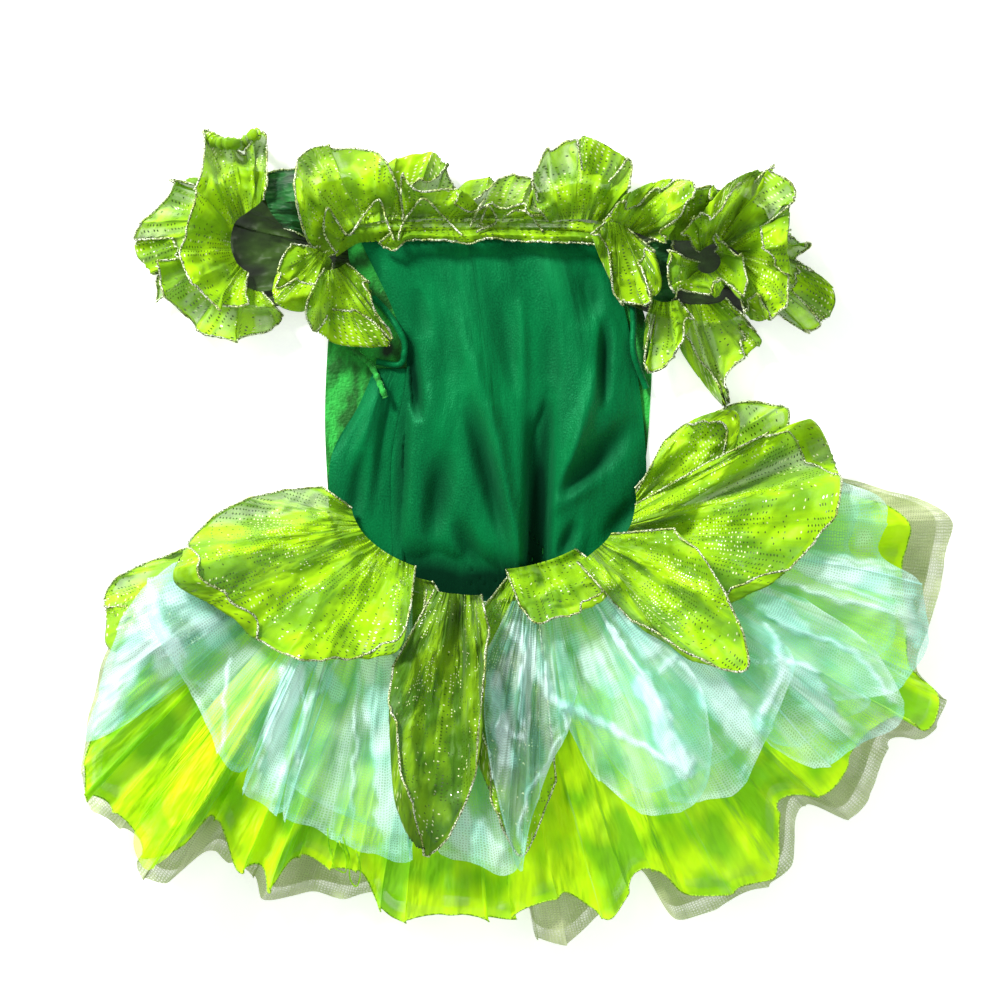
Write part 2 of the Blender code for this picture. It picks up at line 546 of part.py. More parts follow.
def skirt_layer(hems, per_row, steps, belly):
    return waist_layer(WAIST_LEFT, WAIST_RIGHT, SEAM_GAP, hems, per_row, steps, belly)


def hidden_layer(hems, steps, shrink):
    """A covered half of the skirt: a little shorter, with its valleys under the crests above."""
    top = max(hem.rise for hem in hems)
    cx, cy = WAIST_CENTRE
    rows = [
        Hem(cx + (hem.across - cx) * shrink, cy + (hem.down - cy) * shrink, HIDDEN_RISE * (top - hem.rise))
        for hem in hems
    ]
    return skirt_layer(rows, 1, steps, 0)


def flap(folds, per_row, steps, belly):
    """A frill or flap, from the seam to the hem in the table."""
    rows = eased_rows(folds, per_row)
    seam = np.stack(on_grid(rows[:, 0], rows[:, 1]), axis=-1)
    hem = np.stack(on_grid(rows[:, 2], rows[:, 3]), axis=-1)
    return swept(seam, hem, np.maximum(rows[:, 4], 0), belly, steps)


def bodice_panel(lengths, levels, per_row, per_level):
    """A panel of the bodice, from the neck past the armpit and belly to the waist."""
    rows = eased_rows(lengths, per_row)
    rises = np.maximum(rows[:, 4:], 0) * MM
    stations = []
    for k, level in enumerate(levels):
        height = rises[:, k - 1] if k else np.zeros(len(rows))
        stations.append(np.stack([*on_grid(rows[:, k], level + 0 * height), height], axis=-1))
    waist = waist_point(rows[:, 3], -SEAM_GAP)
    stations.append(np.column_stack([waist, rises[:, 2]]))
    swept_rows = eased_rows(np.array(stations).reshape(len(stations), -1), per_level)
    surface = swept_rows.reshape(len(swept_rows), len(rows), 3).transpose(1, 0, 2)
    surface[..., 2] = np.maximum(surface[..., 2], 0)
    return surface


def binding(pile, name, route, material):
    """A rolled edge binding: a round tube that lies on the pile along a route of grid places."""
    places = eased_rows(route, 2)
    line = np.stack([*on_grid(places[:, 0], places[:, 1]), places[:, 2] * MM], axis=-1)
    run = np.gradient(line, axis=0)
    run[:, 2] = 0
    run /= np.linalg.norm(run, axis=1, keepdims=True)
    aside = np.stack([run[:, 1], -run[:, 0], run[:, 2]], axis=-1)
    width = line[:, None] + aside[:, None] * np.array([-1, 0, 1])[:, None] * BINDING_RADIUS
    width[..., 2] = pile.draped(width)[..., 2].max(axis=1, keepdims=True)
    line[:, 2] = pile.settled(width)[:, 0, 2] + BINDING_RADIUS
    vertices, faces = [], []
    for place, side in zip(line, aside):
        for k in range(BINDING_SIDES):
            angle = 2 * math.pi * k / BINDING_SIDES
            up = np.array([0, 0, math.sin(angle)])
            vertices.append(place + (side * math.cos(angle) + up) * BINDING_RADIUS)
    for i in range(len(line) - 1):
        for k in range(BINDING_SIDES):
            a, b = i * BINDING_SIDES + k, i * BINDING_SIDES + (k + 1) % BINDING_SIDES
            faces.append([a, b, b + BINDING_SIDES, a + BINDING_SIDES])
    faces.append(list(range(BINDING_SIDES)))
    faces.append([len(vertices) - 1 - k for k in range(BINDING_SIDES)])
    add_object(name, vertices, faces, material)
    width[..., 2] = line[:, None, 2] + BINDING_RADIUS
    pile.lay(width)


def clear_scene():
    for obj in list(bpy.data.objects):
        bpy.data.objects.remove(obj)


def build_lower_half(pile):
    """The front of the dress, which lies on the floor under its back."""
    lay_piece(pile, "bodice_front", bodice_panel(FRONT_LENGTHS, FRONT_LEVELS, 3, 3), VELVET, "velvet")
    lay_piece(pile, "net_front", hidden_layer(NET_HEM, 2, 0.97), TULLE, "net")
    lay_piece(pile, "organza_front", hidden_layer(ORGANZA_HEM, 2, 0.96), ORGANZA, "organza")
    lay_piece(pile, "neck_front_frill", flap(NECK_FRONT_FRILL, 1, 3, 2), ORGANZA, "glitter_organza")


def build_bodice(pile):
    """The back of the bodice, with the side of the front that is rolled over to the left."""
    lay_piece(pile, "bodice_side", bodice_panel(SIDE_LENGTHS, SIDE_LEVELS, 2, 2), SATIN, "satin")
    lay_piece(pile, "bodice_back", bodice_panel(BACK_LENGTHS, BACK_LEVELS, 2, 3), SATIN, "satin")
    binding(pile, "armhole_binding_left", LEFT_BINDING, "satin")
    binding(pile, "armhole_binding_right", RIGHT_BINDING, "satin")


def lobe_cloth(name):
    """A lobe's thickness and material, which its name gives."""
    if name.startswith("petal"):
        return ORGANZA, "glitter_organza"
    return (TULLE, "aqua_tulle") if name.startswith("tulle") else (ORGANZA, "organza")


def lay_lobe(pile, name, lobe):
    outward = SEAM_GAP - lobe.puff * MM
    surface = waist_layer(lobe.start_angle, lobe.end_angle, outward, lobe.hem, 2, 4, 5)
    lay_piece(pile, name, surface, *lobe_cloth(name))


def build_skirt(pile):
    """The back half of the skirt: net, organza, tulle and the lobes of tulle and petals."""
    lay_piece(pile, "net_back", skirt_layer(NET_HEM, 2, 4, 2), TULLE, "net")
    lay_piece(pile, "organza_back", skirt_layer(ORGANZA_HEM, 2, 5, 4), ORGANZA, "organza")
    lay_piece(pile, "tulle_under", hidden_layer(AQUA_HEM, 3, 0.93), TULLE, "aqua_tulle")
    for name, lobe in LOBES.items():
        lay_lobe(pile, name, lobe)


def build_frills(pile):
    """The sleeves' ruffles and the frills along the back neck edge."""
    for table in (LEFT_SLEEVE, RIGHT_SLEEVE, FRILLS):
        for name, folds in table.items():
            material = "satin" if name.endswith("band") else "glitter_organza"
            per_row = 1 if name in NEAR_FLAT else 2
            lay_piece(pile, name, flap(folds, per_row, 3, 4), ORGANZA, material)


def main():
    clear_scene()
    pile = Pile()
    build_lower_half(pile)
    build_bodice(pile)
    build_skirt(pile)
    build_frills(pile)


main()
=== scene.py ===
"""The looks of the fairy dress: each piece of cloth again, finely gathered, in sheer cloth.

The plan tables and the order of laying are those of the solids. Every sheet is swept from its
seam to its hem, gathered, and laid on a height map of all that lies under it.

The tables are in steps of the plan grid, with heights in mm. A hem has one row a fold: where its
crest or valley meets the hem, across and down, and its height. A frill has one row a fold too:
where it starts on the seam, where it ends, and its height. A panel of the bodice has one row a
length: how far across it lies at the neck, armpit and belly, the angle at which it meets the
waist, and its heights at the armpit, belly and waist.
"""

import math
from collections import namedtuple

import bpy
import mathutils
import numpy as np
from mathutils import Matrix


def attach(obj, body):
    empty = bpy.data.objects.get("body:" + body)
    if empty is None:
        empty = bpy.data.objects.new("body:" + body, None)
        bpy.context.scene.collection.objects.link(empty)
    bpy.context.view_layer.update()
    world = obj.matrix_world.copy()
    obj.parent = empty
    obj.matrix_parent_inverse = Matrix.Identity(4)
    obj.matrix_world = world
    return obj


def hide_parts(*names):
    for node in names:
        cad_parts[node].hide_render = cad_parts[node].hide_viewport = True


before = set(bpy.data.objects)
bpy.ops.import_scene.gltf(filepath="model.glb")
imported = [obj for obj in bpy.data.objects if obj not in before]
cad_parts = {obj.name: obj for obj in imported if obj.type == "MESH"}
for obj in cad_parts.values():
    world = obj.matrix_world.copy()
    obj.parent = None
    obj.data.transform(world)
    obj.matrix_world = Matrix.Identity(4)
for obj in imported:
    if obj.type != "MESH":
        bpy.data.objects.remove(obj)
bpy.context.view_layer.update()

MM = 0.001

# The driving sizes
CHEST_WIDTH = 221 * MM  # the bodice laid flat, from side to side
CHEST_STEPS = 325  # the same width in steps of the plan grid
STEP = CHEST_WIDTH / CHEST_STEPS
GRID_CENTRE = (516.4, 537.1)  # the grid point over the origin

SEAM_GAP = 0.3 * MM
VELVET = 1.8 * MM
SATIN = 1.3 * MM
ORGANZA = 1.0 * MM
TULLE = 1.0 * MM
BINDING_RADIUS = 2.2 * MM

# The waist seam is the lower part of an ellipse, in steps and degrees from the right
WAIST_CENTRE = (484.0, 500.0)
WAIST_HALF = (158.0, 102.0)
WAIST_LEFT = 172.0
WAIST_RIGHT = 8.0

# A petal, or one lobe of the tulle: the part of the waist seam that it is sewn to, how far it
# puffs out over the bodice in mm, and its hem from fold to fold
Petal = namedtuple("Petal", "start_angle end_angle puff hem")

NET_HEM = [
    (165, 575, 4), (112, 640, 10), (92, 700, 3), (84, 745, 10), (84, 800, 4), (112, 822, 12),
    (143, 845, 2), (137, 870, 12), (165, 882, 16), (206, 852, 2), (225, 860, 9), (252, 876, 3),
    (266, 900, 12), (310, 893, 3), (345, 899, 10), (378, 892, 2), (420, 904, 8), (470, 910, 2),
    (524, 903, 6), (537, 938, 3), (568, 942, 15), (602, 912, 3), (622, 903, 8), (640, 870, 2),
    (672, 916, 12), (702, 915, 5), (745, 893, 12), (790, 870, 4), (802, 808, 2), (850, 818, 14),
    (873, 790, 6), (893, 742, 2), (926, 737, 12), (945, 702, 7), (918, 668, 2), (934, 612, 10),
    (946, 560, 4), (947, 513, 12), (885, 489, 3), (836, 476, 8),
]

ORGANZA_HEM = [
    (172, 592, 3), (118, 690, 8), (90, 745, 3), (87, 790, 9), (110, 803, 3), (140, 838, 6),
    (150, 856, 16), (186, 842, 12), (214, 815, 2), (236, 862, 10), (262, 868, 4), (272, 884, 12),
    (296, 856, 3), (330, 866, 9), (360, 872, 3), (384, 911, 8), (402, 919, 11), (440, 913, 3),
    (478, 916, 9), (505, 919, 4), (530, 907, 8), (562, 893, 3), (590, 906, 9), (612, 916, 12),
    (638, 872, 2), (662, 872, 9), (690, 895, 5), (740, 886, 14), (776, 868, 9), (782, 802, 2),
    (830, 790, 10), (852, 752, 3), (892, 716, 7), (926, 728, 12), (936, 694, 5), (912, 668, 2),
    (905, 618, 8), (902, 562, 3), (906, 520, 9), (850, 492, 3),
]

AQUA_HEM = [
    (176, 562, 6), (143, 590, 12), (118, 634, 5), (102, 690, 12), (89, 738, 6), (132, 720, 10),
    (172, 696, 3), (208, 730, 13), (243, 772, 7), (248, 792, 12), (284, 811, 4), (318, 830, 12),
    (344, 842, 4), (376, 853, 12), (405, 857, 6), (436, 850, 2), (476, 862, 8), (508, 873, 10),
    (524, 852, 4), (542, 792, 10), (570, 736, 2), (602, 752, 9), (630, 792, 4), (664, 813, 14),
    (702, 796, 9), (750, 772, 14), (766, 742, 4), (800, 762, 10), (832, 760, 4), (852, 738, 12),
    (894, 722, 6), (884, 684, 3), (922, 652, 12), (920, 606, 4), (912, 578, 11), (876, 552, 3),
    (884, 504, 10), (838, 482, 4),
]

# The pieces over the lime organza, in the order in which they lie on each other
LOBES = {
    "petal_far_left": Petal(168, 156, 0, [
        (186, 548, 4), (140, 566, 8), (108, 586, 9), (105, 622, 6), (112, 650, 3), (176, 656, 2),
    ]),
    "organza_roll": Petal(150, 145, 0, [
        (196, 722, 4), (160, 780, 12), (136, 836, 16), (150, 862, 10), (174, 850, 16), (208, 800, 12),
        (238, 752, 4),
    ]),
    "tulle_centre": Petal(112, 82, 0, [
        (412, 800, 3), (440, 850, 5), (476, 862, 8), (508, 873, 10), (524, 850, 4), (534, 780, 3),
    ]),
    "petal_left_back": Petal(122, 111, 10, [
        (388, 650, 3), (412, 668, 8), (434, 652, 12), (444, 620, 12), (444, 602, 9),
    ]),
    "petal_centre_back": Petal(112, 100, 4, [
        (420, 640, 3), (440, 668, 8), (462, 660, 10), (480, 632, 10), (482, 608, 8),
    ]),
    "petal_right_long": Petal(80, 68, 16, [
        (484, 606, 10), (470, 650, 14), (468, 700, 12), (476, 756, 12), (496, 806, 8), (522, 852, 4),
        (556, 780, 2),
    ]),
    "tulle_left_end": Petal(170, 156, 0, [
        (176, 562, 6), (143, 590, 12), (118, 634, 5), (102, 690, 12), (89, 738, 6), (130, 722, 10),
        (168, 692, 4),
    ]),
    "tulle_left_mint": Petal(162, 138, 0, [
        (150, 576, 10), (156, 622, 14), (186, 676, 6), (212, 730, 10), (236, 770, 14), (262, 750, 8),
        (292, 710, 3),
    ]),
    "tulle_left_front": Petal(140, 117, 0, [
        (306, 720, 5), (285, 808, 10), (318, 828, 4), (346, 842, 12), (376, 853, 6), (410, 856, 12),
        (415, 784, 6), (414, 700, 3),
    ]),
    "tulle_left_fold": Petal(150, 146, 0, [
        (288, 666, 4), (262, 734, 8), (246, 788, 12), (264, 802, 10), (286, 808, 12), (302, 760, 10),
        (320, 692, 4),
    ]),
    "tulle_right_end": Petal(24, 8, 0, [
        (842, 700, 4), (890, 690, 8), (922, 652, 12), (924, 610, 5), (914, 578, 12), (878, 552, 4),
        (884, 504, 9), (838, 480, 4),
    ]),
    "tulle_right_side": Petal(36, 18, 0, [
        (766, 742, 6), (800, 762, 12), (832, 762, 4), (856, 744, 10), (894, 724, 14), (896, 690, 8),
        (862, 640, 12), (806, 600, 4),
    ]),
    "tulle_right_front": Petal(52, 30, 0, [
        (668, 800, 6), (702, 798, 14), (740, 786, 10), (766, 730, 16), (791, 662, 18), (762, 626, 6),
    ]),
    "tulle_right_lobe": Petal(66, 44, 0, [
        (566, 722, 4), (590, 768, 8), (622, 798, 6), (650, 813, 14), (690, 802, 8), (708, 770, 16),
        (704, 700, 10), (678, 650, 4),
    ]),
    "tulle_right_swirl": Petal(80, 64, 0, [
        (487, 648, 8), (484, 700, 16), (492, 770, 8), (506, 826, 12), (520, 866, 6), (530, 820, 12),
        (548, 770, 6), (566, 730, 14), (576, 692, 4),
    ]),
    "petal_centre": Petal(109, 91, 5, [
        (393, 668, 5), (390, 720, 12), (398, 808, 16), (428, 850, 14), (452, 828, 8), (478, 762, 14),
        (486, 680, 15), (489, 626, 9),
    ]),
    "petal_right_small": Petal(80, 44, 22, [
        (520, 606, 6), (538, 624, 14), (558, 616, 8), (580, 610, 15), (602, 602, 8), (616, 580, 12),
    ]),
    "petal_right_rear": Petal(13, -7, 4, [
        (690, 500, 3), (742, 470, 10), (784, 438, 6), (786, 410, 12), (744, 402, 10), (690, 426, 4),
    ]),
    "petal_right_upper": Petal(15, -4, 4, [
        (664, 514, 3), (704, 490, 9), (732, 458, 14), (738, 412, 10), (700, 416, 15), (664, 440, 6),
    ]),
    "petal_right_big": Petal(30, 3, 5, [
        (722, 606, 4), (770, 582, 10), (812, 542, 14), (836, 500, 10), (834, 458, 14), (814, 420, 18),
        (772, 432, 12), (708, 462, 4),
    ]),
    "petal_right_crescent": Petal(48, 24, 13, [
        (614, 602, 2), (640, 628, 3), (664, 642, 6), (692, 660, 18), (745, 664, 14), (727, 604, 20),
        (702, 558, 22), (674, 528, 14),
    ]),
    "petal_left_big": Petal(174, 121, 17, [
        (322, 487, 6), (268, 493, 16), (212, 518, 20), (176, 576, 12), (218, 606, 6), (262, 640, 14),
        (300, 656, 20), (350, 658, 22), (398, 650, 18), (412, 604, 14),
    ]),
}

# Frills of the neck. The first lies under the bodice's back, on the front neck edge.
NECK_FRONT_FRILL = [
    (300, 236, 262, 196, 4), (330, 230, 316, 182, 10), (362, 226, 356, 176, 4),
    (386, 224, 396, 158, 12), (412, 223, 438, 153, 10), (440, 222, 454, 186, 3),
    (462, 222, 474, 178, 9), (500, 222, 526, 176, 9), (530, 222, 538, 192, 3), (570, 223, 580, 182, 9),
    (610, 225, 622, 190, 4), (650, 230, 676, 192, 10), (678, 236, 716, 192, 5),
]

FRILLS = {
    "neck_casing": [
        (336, 256, 330, 236, 2), (356, 243, 350, 226, 4), (372, 241, 368, 223, 2),
        (392, 240, 390, 220, 5), (412, 239, 412, 221, 2), (434, 239, 434, 219, 5),
        (456, 238, 456, 221, 2), (480, 238, 480, 219, 5), (504, 238, 504, 221, 2),
        (528, 238, 528, 219, 5), (550, 239, 552, 221, 2), (572, 240, 574, 220, 5),
        (592, 241, 596, 223, 2), (610, 244, 618, 226, 4), (624, 252, 636, 234, 2),
    ],
    "neck_flap_left": [
        (338, 250, 322, 264, 3), (341, 242, 303, 228, 12), (345, 234, 297, 184, 18),
        (352, 228, 304, 151, 20), (362, 224, 334, 148, 22), (373, 222, 366, 150, 20),
        (384, 220, 388, 166, 16), (394, 219, 399, 194, 10), (402, 219, 406, 208, 3),
    ],
    "neck_frill_middle": [
        (404, 219, 404, 176, 6), (416, 219, 420, 190, 14), (430, 218, 450, 192, 8),
        (446, 218, 468, 194, 14), (460, 218, 480, 206, 6), (474, 218, 490, 202, 12),
        (488, 218, 498, 206, 5), (502, 218, 510, 208, 12), (516, 218, 524, 204, 5),
        (532, 219, 534, 210, 11), (546, 219, 548, 212, 4),
    ],
    "neck_flap_right": [
        (548, 221, 534, 206, 3), (556, 220, 533, 176, 14), (564, 219, 546, 154, 20),
        (572, 219, 568, 140, 22), (580, 219, 592, 138, 22), (588, 219, 614, 150, 18),
        (596, 220, 632, 162, 14), (603, 221, 628, 190, 16), (610, 223, 624, 206, 5),
    ],
    "neck_flap_right_end": [
        (612, 232, 606, 216, 4), (618, 231, 632, 192, 14), (626, 231, 662, 180, 16),
        (634, 232, 692, 184, 10), (641, 234, 682, 214, 16), (648, 237, 664, 242, 5),
    ],
    "neck_frill_lower": [
        (392, 232, 380, 244, 3), (401, 232, 394, 250, 8), (412, 231, 408, 240, 3),
        (440, 230, 440, 240, 8), (460, 230, 470, 243, 4), (480, 229, 488, 238, 8),
        (510, 229, 514, 240, 4), (540, 230, 546, 242, 8), (570, 231, 574, 242, 4),
        (592, 233, 596, 244, 8),
    ],
    "neck_flap_down_right": [
        (604, 224, 590, 234, 4), (608, 223, 604, 268, 10), (613, 223, 621, 302, 12),
        (618, 224, 642, 304, 14), (623, 226, 661, 290, 12), (628, 229, 656, 252, 6),
    ],
    "neck_flap_down_left": [
        (332, 262, 329, 284, 3), (330, 258, 318, 300, 10), (326, 254, 300, 313, 14),
        (322, 252, 274, 300, 14), (318, 250, 280, 262, 12), (316, 248, 290, 247, 5),
    ],
    "neck_leaf_down_left": [
        (346, 262, 368, 282, 4), (340, 266, 376, 312, 12), (336, 268, 392, 341, 10),
        (331, 270, 342, 346, 16), (327, 270, 308, 322, 12), (324, 268, 312, 290, 4),
    ],
}

LEFT_SLEEVE = {
    "sleeve_left_cap": [
        (346, 232, 282, 172, 3), (346, 240, 236, 172, 6), (347, 248, 200, 204, 3),
        (348, 256, 190, 250, 6), (350, 264, 214, 296, 3), (352, 272, 262, 306, 6),
        (354, 280, 318, 306, 2),
    ],
    "sleeve_left_band": [
        (262, 174, 300, 166, 4), (264, 186, 302, 182, 8), (266, 200, 303, 200, 10),
        (272, 214, 306, 218, 8), (284, 228, 308, 236, 4),
    ],
    "sleeve_left_ruffle_rear": [
        (232, 196, 206, 176, 5), (226, 204, 180, 180, 12), (222, 212, 158, 204, 6),
        (220, 222, 135, 232, 14), (218, 232, 136, 256, 6), (218, 242, 152, 274, 12),
        (220, 252, 156, 294, 5),
    ],
    "sleeve_left_ruffle_lower": [
        (228, 252, 158, 268, 8), (230, 262, 168, 298, 16), (233, 272, 192, 322, 8),
        (238, 280, 204, 336, 14), (246, 286, 238, 339, 6), (254, 290, 268, 330, 12),
        (262, 292, 284, 314, 4),
    ],
    "sleeve_left_ruffle_front": [
        (264, 200, 268, 176, 4), (257, 206, 264, 130, 14), (250, 210, 244, 152, 8),
        (244, 214, 228, 142, 14), (238, 218, 206, 130, 8), (234, 224, 204, 158, 18),
        (231, 232, 196, 200, 22), (230, 242, 188, 236, 18), (232, 252, 182, 258, 10),
        (236, 262, 200, 292, 20), (242, 268, 222, 308, 16), (248, 272, 246, 304, 6),
    ],
}

RIGHT_SLEEVE = {
    "sleeve_right_cap": [
        (618, 300, 668, 318, 2), (616, 288, 722, 320, 5), (614, 276, 768, 302, 3),
        (612, 264, 780, 256, 6), (610, 252, 762, 206, 3), (608, 240, 714, 188, 6),
        (606, 230, 660, 204, 2),
    ],
    "sleeve_right_band": [
        (640, 246, 668, 236, 3), (640, 260, 676, 254, 6), (642, 274, 680, 274, 8),
        (644, 290, 676, 296, 6), (648, 304, 668, 312, 3),
    ],
    "sleeve_right_net": [
        (668, 240, 668, 200, 3), (680, 240, 682, 190, 6), (694, 240, 706, 188, 3),
        (708, 240, 728, 194, 6),
    ],
    "sleeve_right_leaf": [
        (672, 300, 676, 330, 4), (680, 302, 684, 356, 8), (690, 304, 726, 408, 4),
        (700, 304, 728, 378, 10), (710, 304, 752, 352, 5), (720, 302, 762, 340, 10),
        (726, 298, 744, 316, 3),
    ],
    "sleeve_right_tail": [
        (738, 270, 772, 308, 4), (742, 266, 790, 322, 8), (746, 262, 814, 331, 14),
        (750, 258, 834, 308, 8), (752, 252, 832, 286, 14), (754, 246, 802, 260, 5),
        (754, 240, 806, 248, 12), (752, 234, 790, 232, 4),
    ],
    "sleeve_right_leaf_inner": [
        (652, 298, 646, 322, 3), (656, 300, 644, 350, 8), (662, 302, 652, 374, 10),
        (670, 302, 676, 352, 16), (678, 300, 694, 320, 8),
    ],
    "sleeve_right_ruffle_upper": [
        (700, 252, 684, 228, 6), (704, 248, 702, 212, 12), (709, 245, 728, 184, 16),
        (716, 243, 764, 168, 10), (723, 243, 790, 184, 18), (730, 246, 790, 216, 12),
        (736, 250, 786, 246, 18), (741, 256, 790, 276, 10), (744, 264, 782, 304, 20),
        (742, 272, 762, 322, 14), (736, 278, 744, 316, 5),
    ],
    "sleeve_right_ruffle_front": [
        (700, 262, 668, 252, 5), (698, 266, 666, 280, 14), (700, 270, 678, 292, 8),
        (706, 273, 712, 296, 16), (713, 272, 726, 286, 8), (718, 268, 740, 300, 16),
        (721, 262, 746, 276, 10), (720, 256, 736, 254, 14), (716, 252, 718, 238, 5),
    ],
}

# The neck's frills that lie nearly flat, in fine gathers
NEAR_FLAT = ("neck_casing", "neck_frill_lower")

# The bodice's back: its folds run down into one deep fold at the waist
BACK_LENGTHS = [
    (354, 405, 391, 125, 1, 0, 0), (374, 418, 404, 119, 4, 5, 4), (394, 432, 418, 113, 6, 8, 7),
    (412, 446, 434, 106, 5, 7, 4), (430, 458, 450, 99, 6, 9, 7), (446, 470, 468, 92, 8, 11, 8),
    (462, 482, 488, 85, 9, 12, 9), (478, 496, 508, 79, 7, 13, 13), (494, 512, 522, 75, 5, 12, 14),
    (510, 530, 533, 72, 5, 3, 2), (526, 548, 544, 69, 6, 3, 2), (540, 564, 557, 65, 8, 10, 10),
    (556, 582, 577, 57, 9, 12, 10), (572, 600, 600, 46, 8, 9, 7), (588, 618, 624, 28, 5, 6, 4),
    (604, 634, 647, 8, 1, 0, 0),
]
NECK_EDGE = 226  # how far down the bodice begins, tucked in under the neck's casing
BACK_LEVELS = (NECK_EDGE, 350, 462)  # how far down its neck, armpit and belly lie

SIDE_LENGTHS = [
    (374, 358, 331, 171, 2, 2, 1), (381, 367, 347, 160, 4, 4, 4), (388, 376, 363, 149, 5, 6, 2),
    (394, 385, 377, 138, 4, 4, 3), (400, 392, 389, 127, 1, 0, 0),
    (407, 408, 400, 122, 0, 0, 0),
]
SIDE_LEVELS = (368, 405, 455)

FRONT_LENGTHS = [
    (338, 328, 324, 171, 0, 0, 0), (390, 372, 366, 149, 0, 0, 0), (430, 415, 410, 125, 0, 0, 0),
    (520, 530, 535, 76, 0, 0, 0), (612, 649, 650, 8, 0, 0, 0),
]
FRONT_LEVELS = (NECK_EDGE, 330, 420)

# The rolled bindings of the armholes, as places on the grid with a height for each
LEFT_BINDING = [(372, 296, 0), (387, 312, 0), (402, 336, 1), (404, 352, 1), (398, 364, 1), (376, 361, 0)]
RIGHT_BINDING = [(612, 262, 0), (630, 290, 1), (634, 320, 1), (634, 352, 1), (647, 388, 0)]


def on_grid(across, down):
    """Metres from the origin, of one place or of arrays of places on the plan grid."""
    return (across - GRID_CENTRE[0]) * STEP, (GRID_CENTRE[1] - down) * STEP


def waist_point(degrees, outward):
    """The place on the waist seam at an angle from the right, moved outward by a distance."""
    angle = np.radians(degrees)
    across = WAIST_CENTRE[0] + (WAIST_HALF[0] + outward / STEP) * np.cos(angle)
    down = WAIST_CENTRE[1] + (WAIST_HALF[1] + outward / STEP) * np.sin(angle)
    return np.stack(on_grid(across, down), axis=-1)


def eased_rows(rows, per_row):
    """The table's rows as an array, with smooth rows put in so that each gap has per_row steps."""
    table = np.array(rows, float)
    ends = np.vstack([2 * table[0] - table[1], table, 2 * table[-1] - table[-2]])
    places = np.linspace(0, len(table) - 1, (len(table) - 1) * per_row + 1)
    first = np.minimum(places.astype(int), len(table) - 2)
    t = (places - first)[:, None]
    p0, p1, p2, p3 = (ends[first + k] for k in range(4))
    bend = 2 * p0 - 5 * p1 + 4 * p2 - p3 + t * (3 * (p1 - p2) + p3 - p0)
    return p1 + 0.5 * t * (p2 - p0 + t * bend)


def swept(seam, hem, rise, belly, steps):
    """A grid of points from seam to hem. It leaves the seam flat and ends at the fold's rise."""
    v = np.linspace(0, 1, steps + 1)
    plan = seam[:, None] + (hem - seam)[:, None] * v[:, None]
    height = rise[:, None] * v ** 1.6 + belly * np.sin(math.pi * v) ** 2
    return np.dstack([plan, height * MM])


def neighbour_mean(heights):
    """Each height averaged with its neighbours along and across the piece."""
    padded = np.pad(heights, 1, mode="edge")
    beside = padded[:-2, 1:-1] + padded[2:, 1:-1] + padded[1:-1, :-2] + padded[1:-1, 2:]
    return 0.5 * heights + 0.125 * beside


def bodice_panel(lengths, levels, per_row, per_level):
    """A panel of the bodice, from the neck past the armpit and belly to the waist."""
    rows = eased_rows(lengths, per_row)
    rises = np.maximum(rows[:, 4:], 0) * MM
    stations = []
    for k, level in enumerate(levels):
        height = rises[:, k - 1] if k else np.zeros(len(rows))
        stations.append(np.stack([*on_grid(rows[:, k], level + 0 * height), height], axis=-1))
    waist = waist_point(rows[:, 3], -SEAM_GAP)
    stations.append(np.column_stack([waist, rises[:, 2]]))
    swept_rows = eased_rows(np.array(stations).reshape(len(stations), -1), per_level)
    surface = swept_rows.reshape(len(swept_rows), len(rows), 3).transpose(1, 0, 2)
    surface[..., 2] = np.maximum(surface[..., 2], 0)
    return surface


def lobe_cloth(name):
    """A lobe's thickness and material, which its name gives."""
    if name.startswith("petal"):
        return ORGANZA, "glitter_organza"
    return (TULLE, "aqua_tulle") if name.startswith("tulle") else (ORGANZA, "organza")


# How a sheet is gathered, in mm: the length of one pleat along the hem, its height, how far it
# leans over and how far it waves in and out, the height of the small gathers at the seam and
# the share of the drop over which they die out, the height of the crumples and of the short
# waves along the free edge, and the number that sets how uneven it all is
Gathers = namedtuple("Gathers", "pleat height lean wobble seam_height fade crumple curl key")

# The cloth under one straight crease of the bodice: its two ends, half its width in steps and
# how deep it is pressed in, in mm (less than nothing for a ridge)
# The depth also sets how dark the crease is painted, as shade, and how light a ridge is painted, as
# highlight
Crease = namedtuple("Crease", "across down end_across end_down width depth")

BACK_CREASES = [
    (548, 396, 538, 520, 7, 9.0), (543, 430, 532, 620, 10, 16.0), (455, 306, 506, 470, 10, -4.5),
    (490, 410, 526, 590, 8, -6.0), (602, 366, 570, 456, 10, -4.5), (586, 420, 544, 526, 8, -5.5),
    (602, 476, 550, 512, 8, -4.0), (606, 322, 604, 404, 6, 8.0), (414, 286, 427, 338, 9, 4.0),
    (371, 250, 372, 302, 8, 6.0), (590, 272, 596, 318, 9, 4.0), (408, 340, 418, 414, 6, 12.0),
    (404, 390, 396, 560, 7, 7.0), (446, 450, 430, 540, 12, 7.0), (469, 404, 505, 540, 9, 8.0),
    (556, 500, 636, 420, 13, 7.0), (430, 380, 446, 450, 14, -3.0), (490, 250, 512, 300, 10, -2.0),
    (521, 295, 524, 395, 6, -3.5), (500, 300, 514, 400, 9, 2.6), (548, 320, 552, 400, 12, 3.0),
    (584, 260, 584, 330, 14, 2.6), (388, 566, 500, 606, 26, 14.0), (415, 602, 560, 594, 32, 19.0),
    (455, 520, 486, 580, 10, 7.0), (576, 520, 560, 560, 7, 5.0), (636, 500, 604, 545, 10, 4.0),
    (540, 240, 566, 300, 12, -2.5),
]
SIDE_CREASES = [
    (384, 372, 352, 470, 6, -2.2), (368, 384, 332, 455, 4, 3.0), (390, 380, 372, 520, 6, 3.0),
    (362, 450, 352, 520, 8, 4.5),
]
# The third and fourth creases are chiefly painted shade: the hole of the left armhole and the gap along
# the right one
FRONT_CREASES = [
    (330, 372, 352, 352, 6, -1.5), (328, 400, 350, 384, 5, 1.2), (380, 346, 394, 352, 11, 11.0),
    (642, 300, 645, 372, 5, 9.0),
]

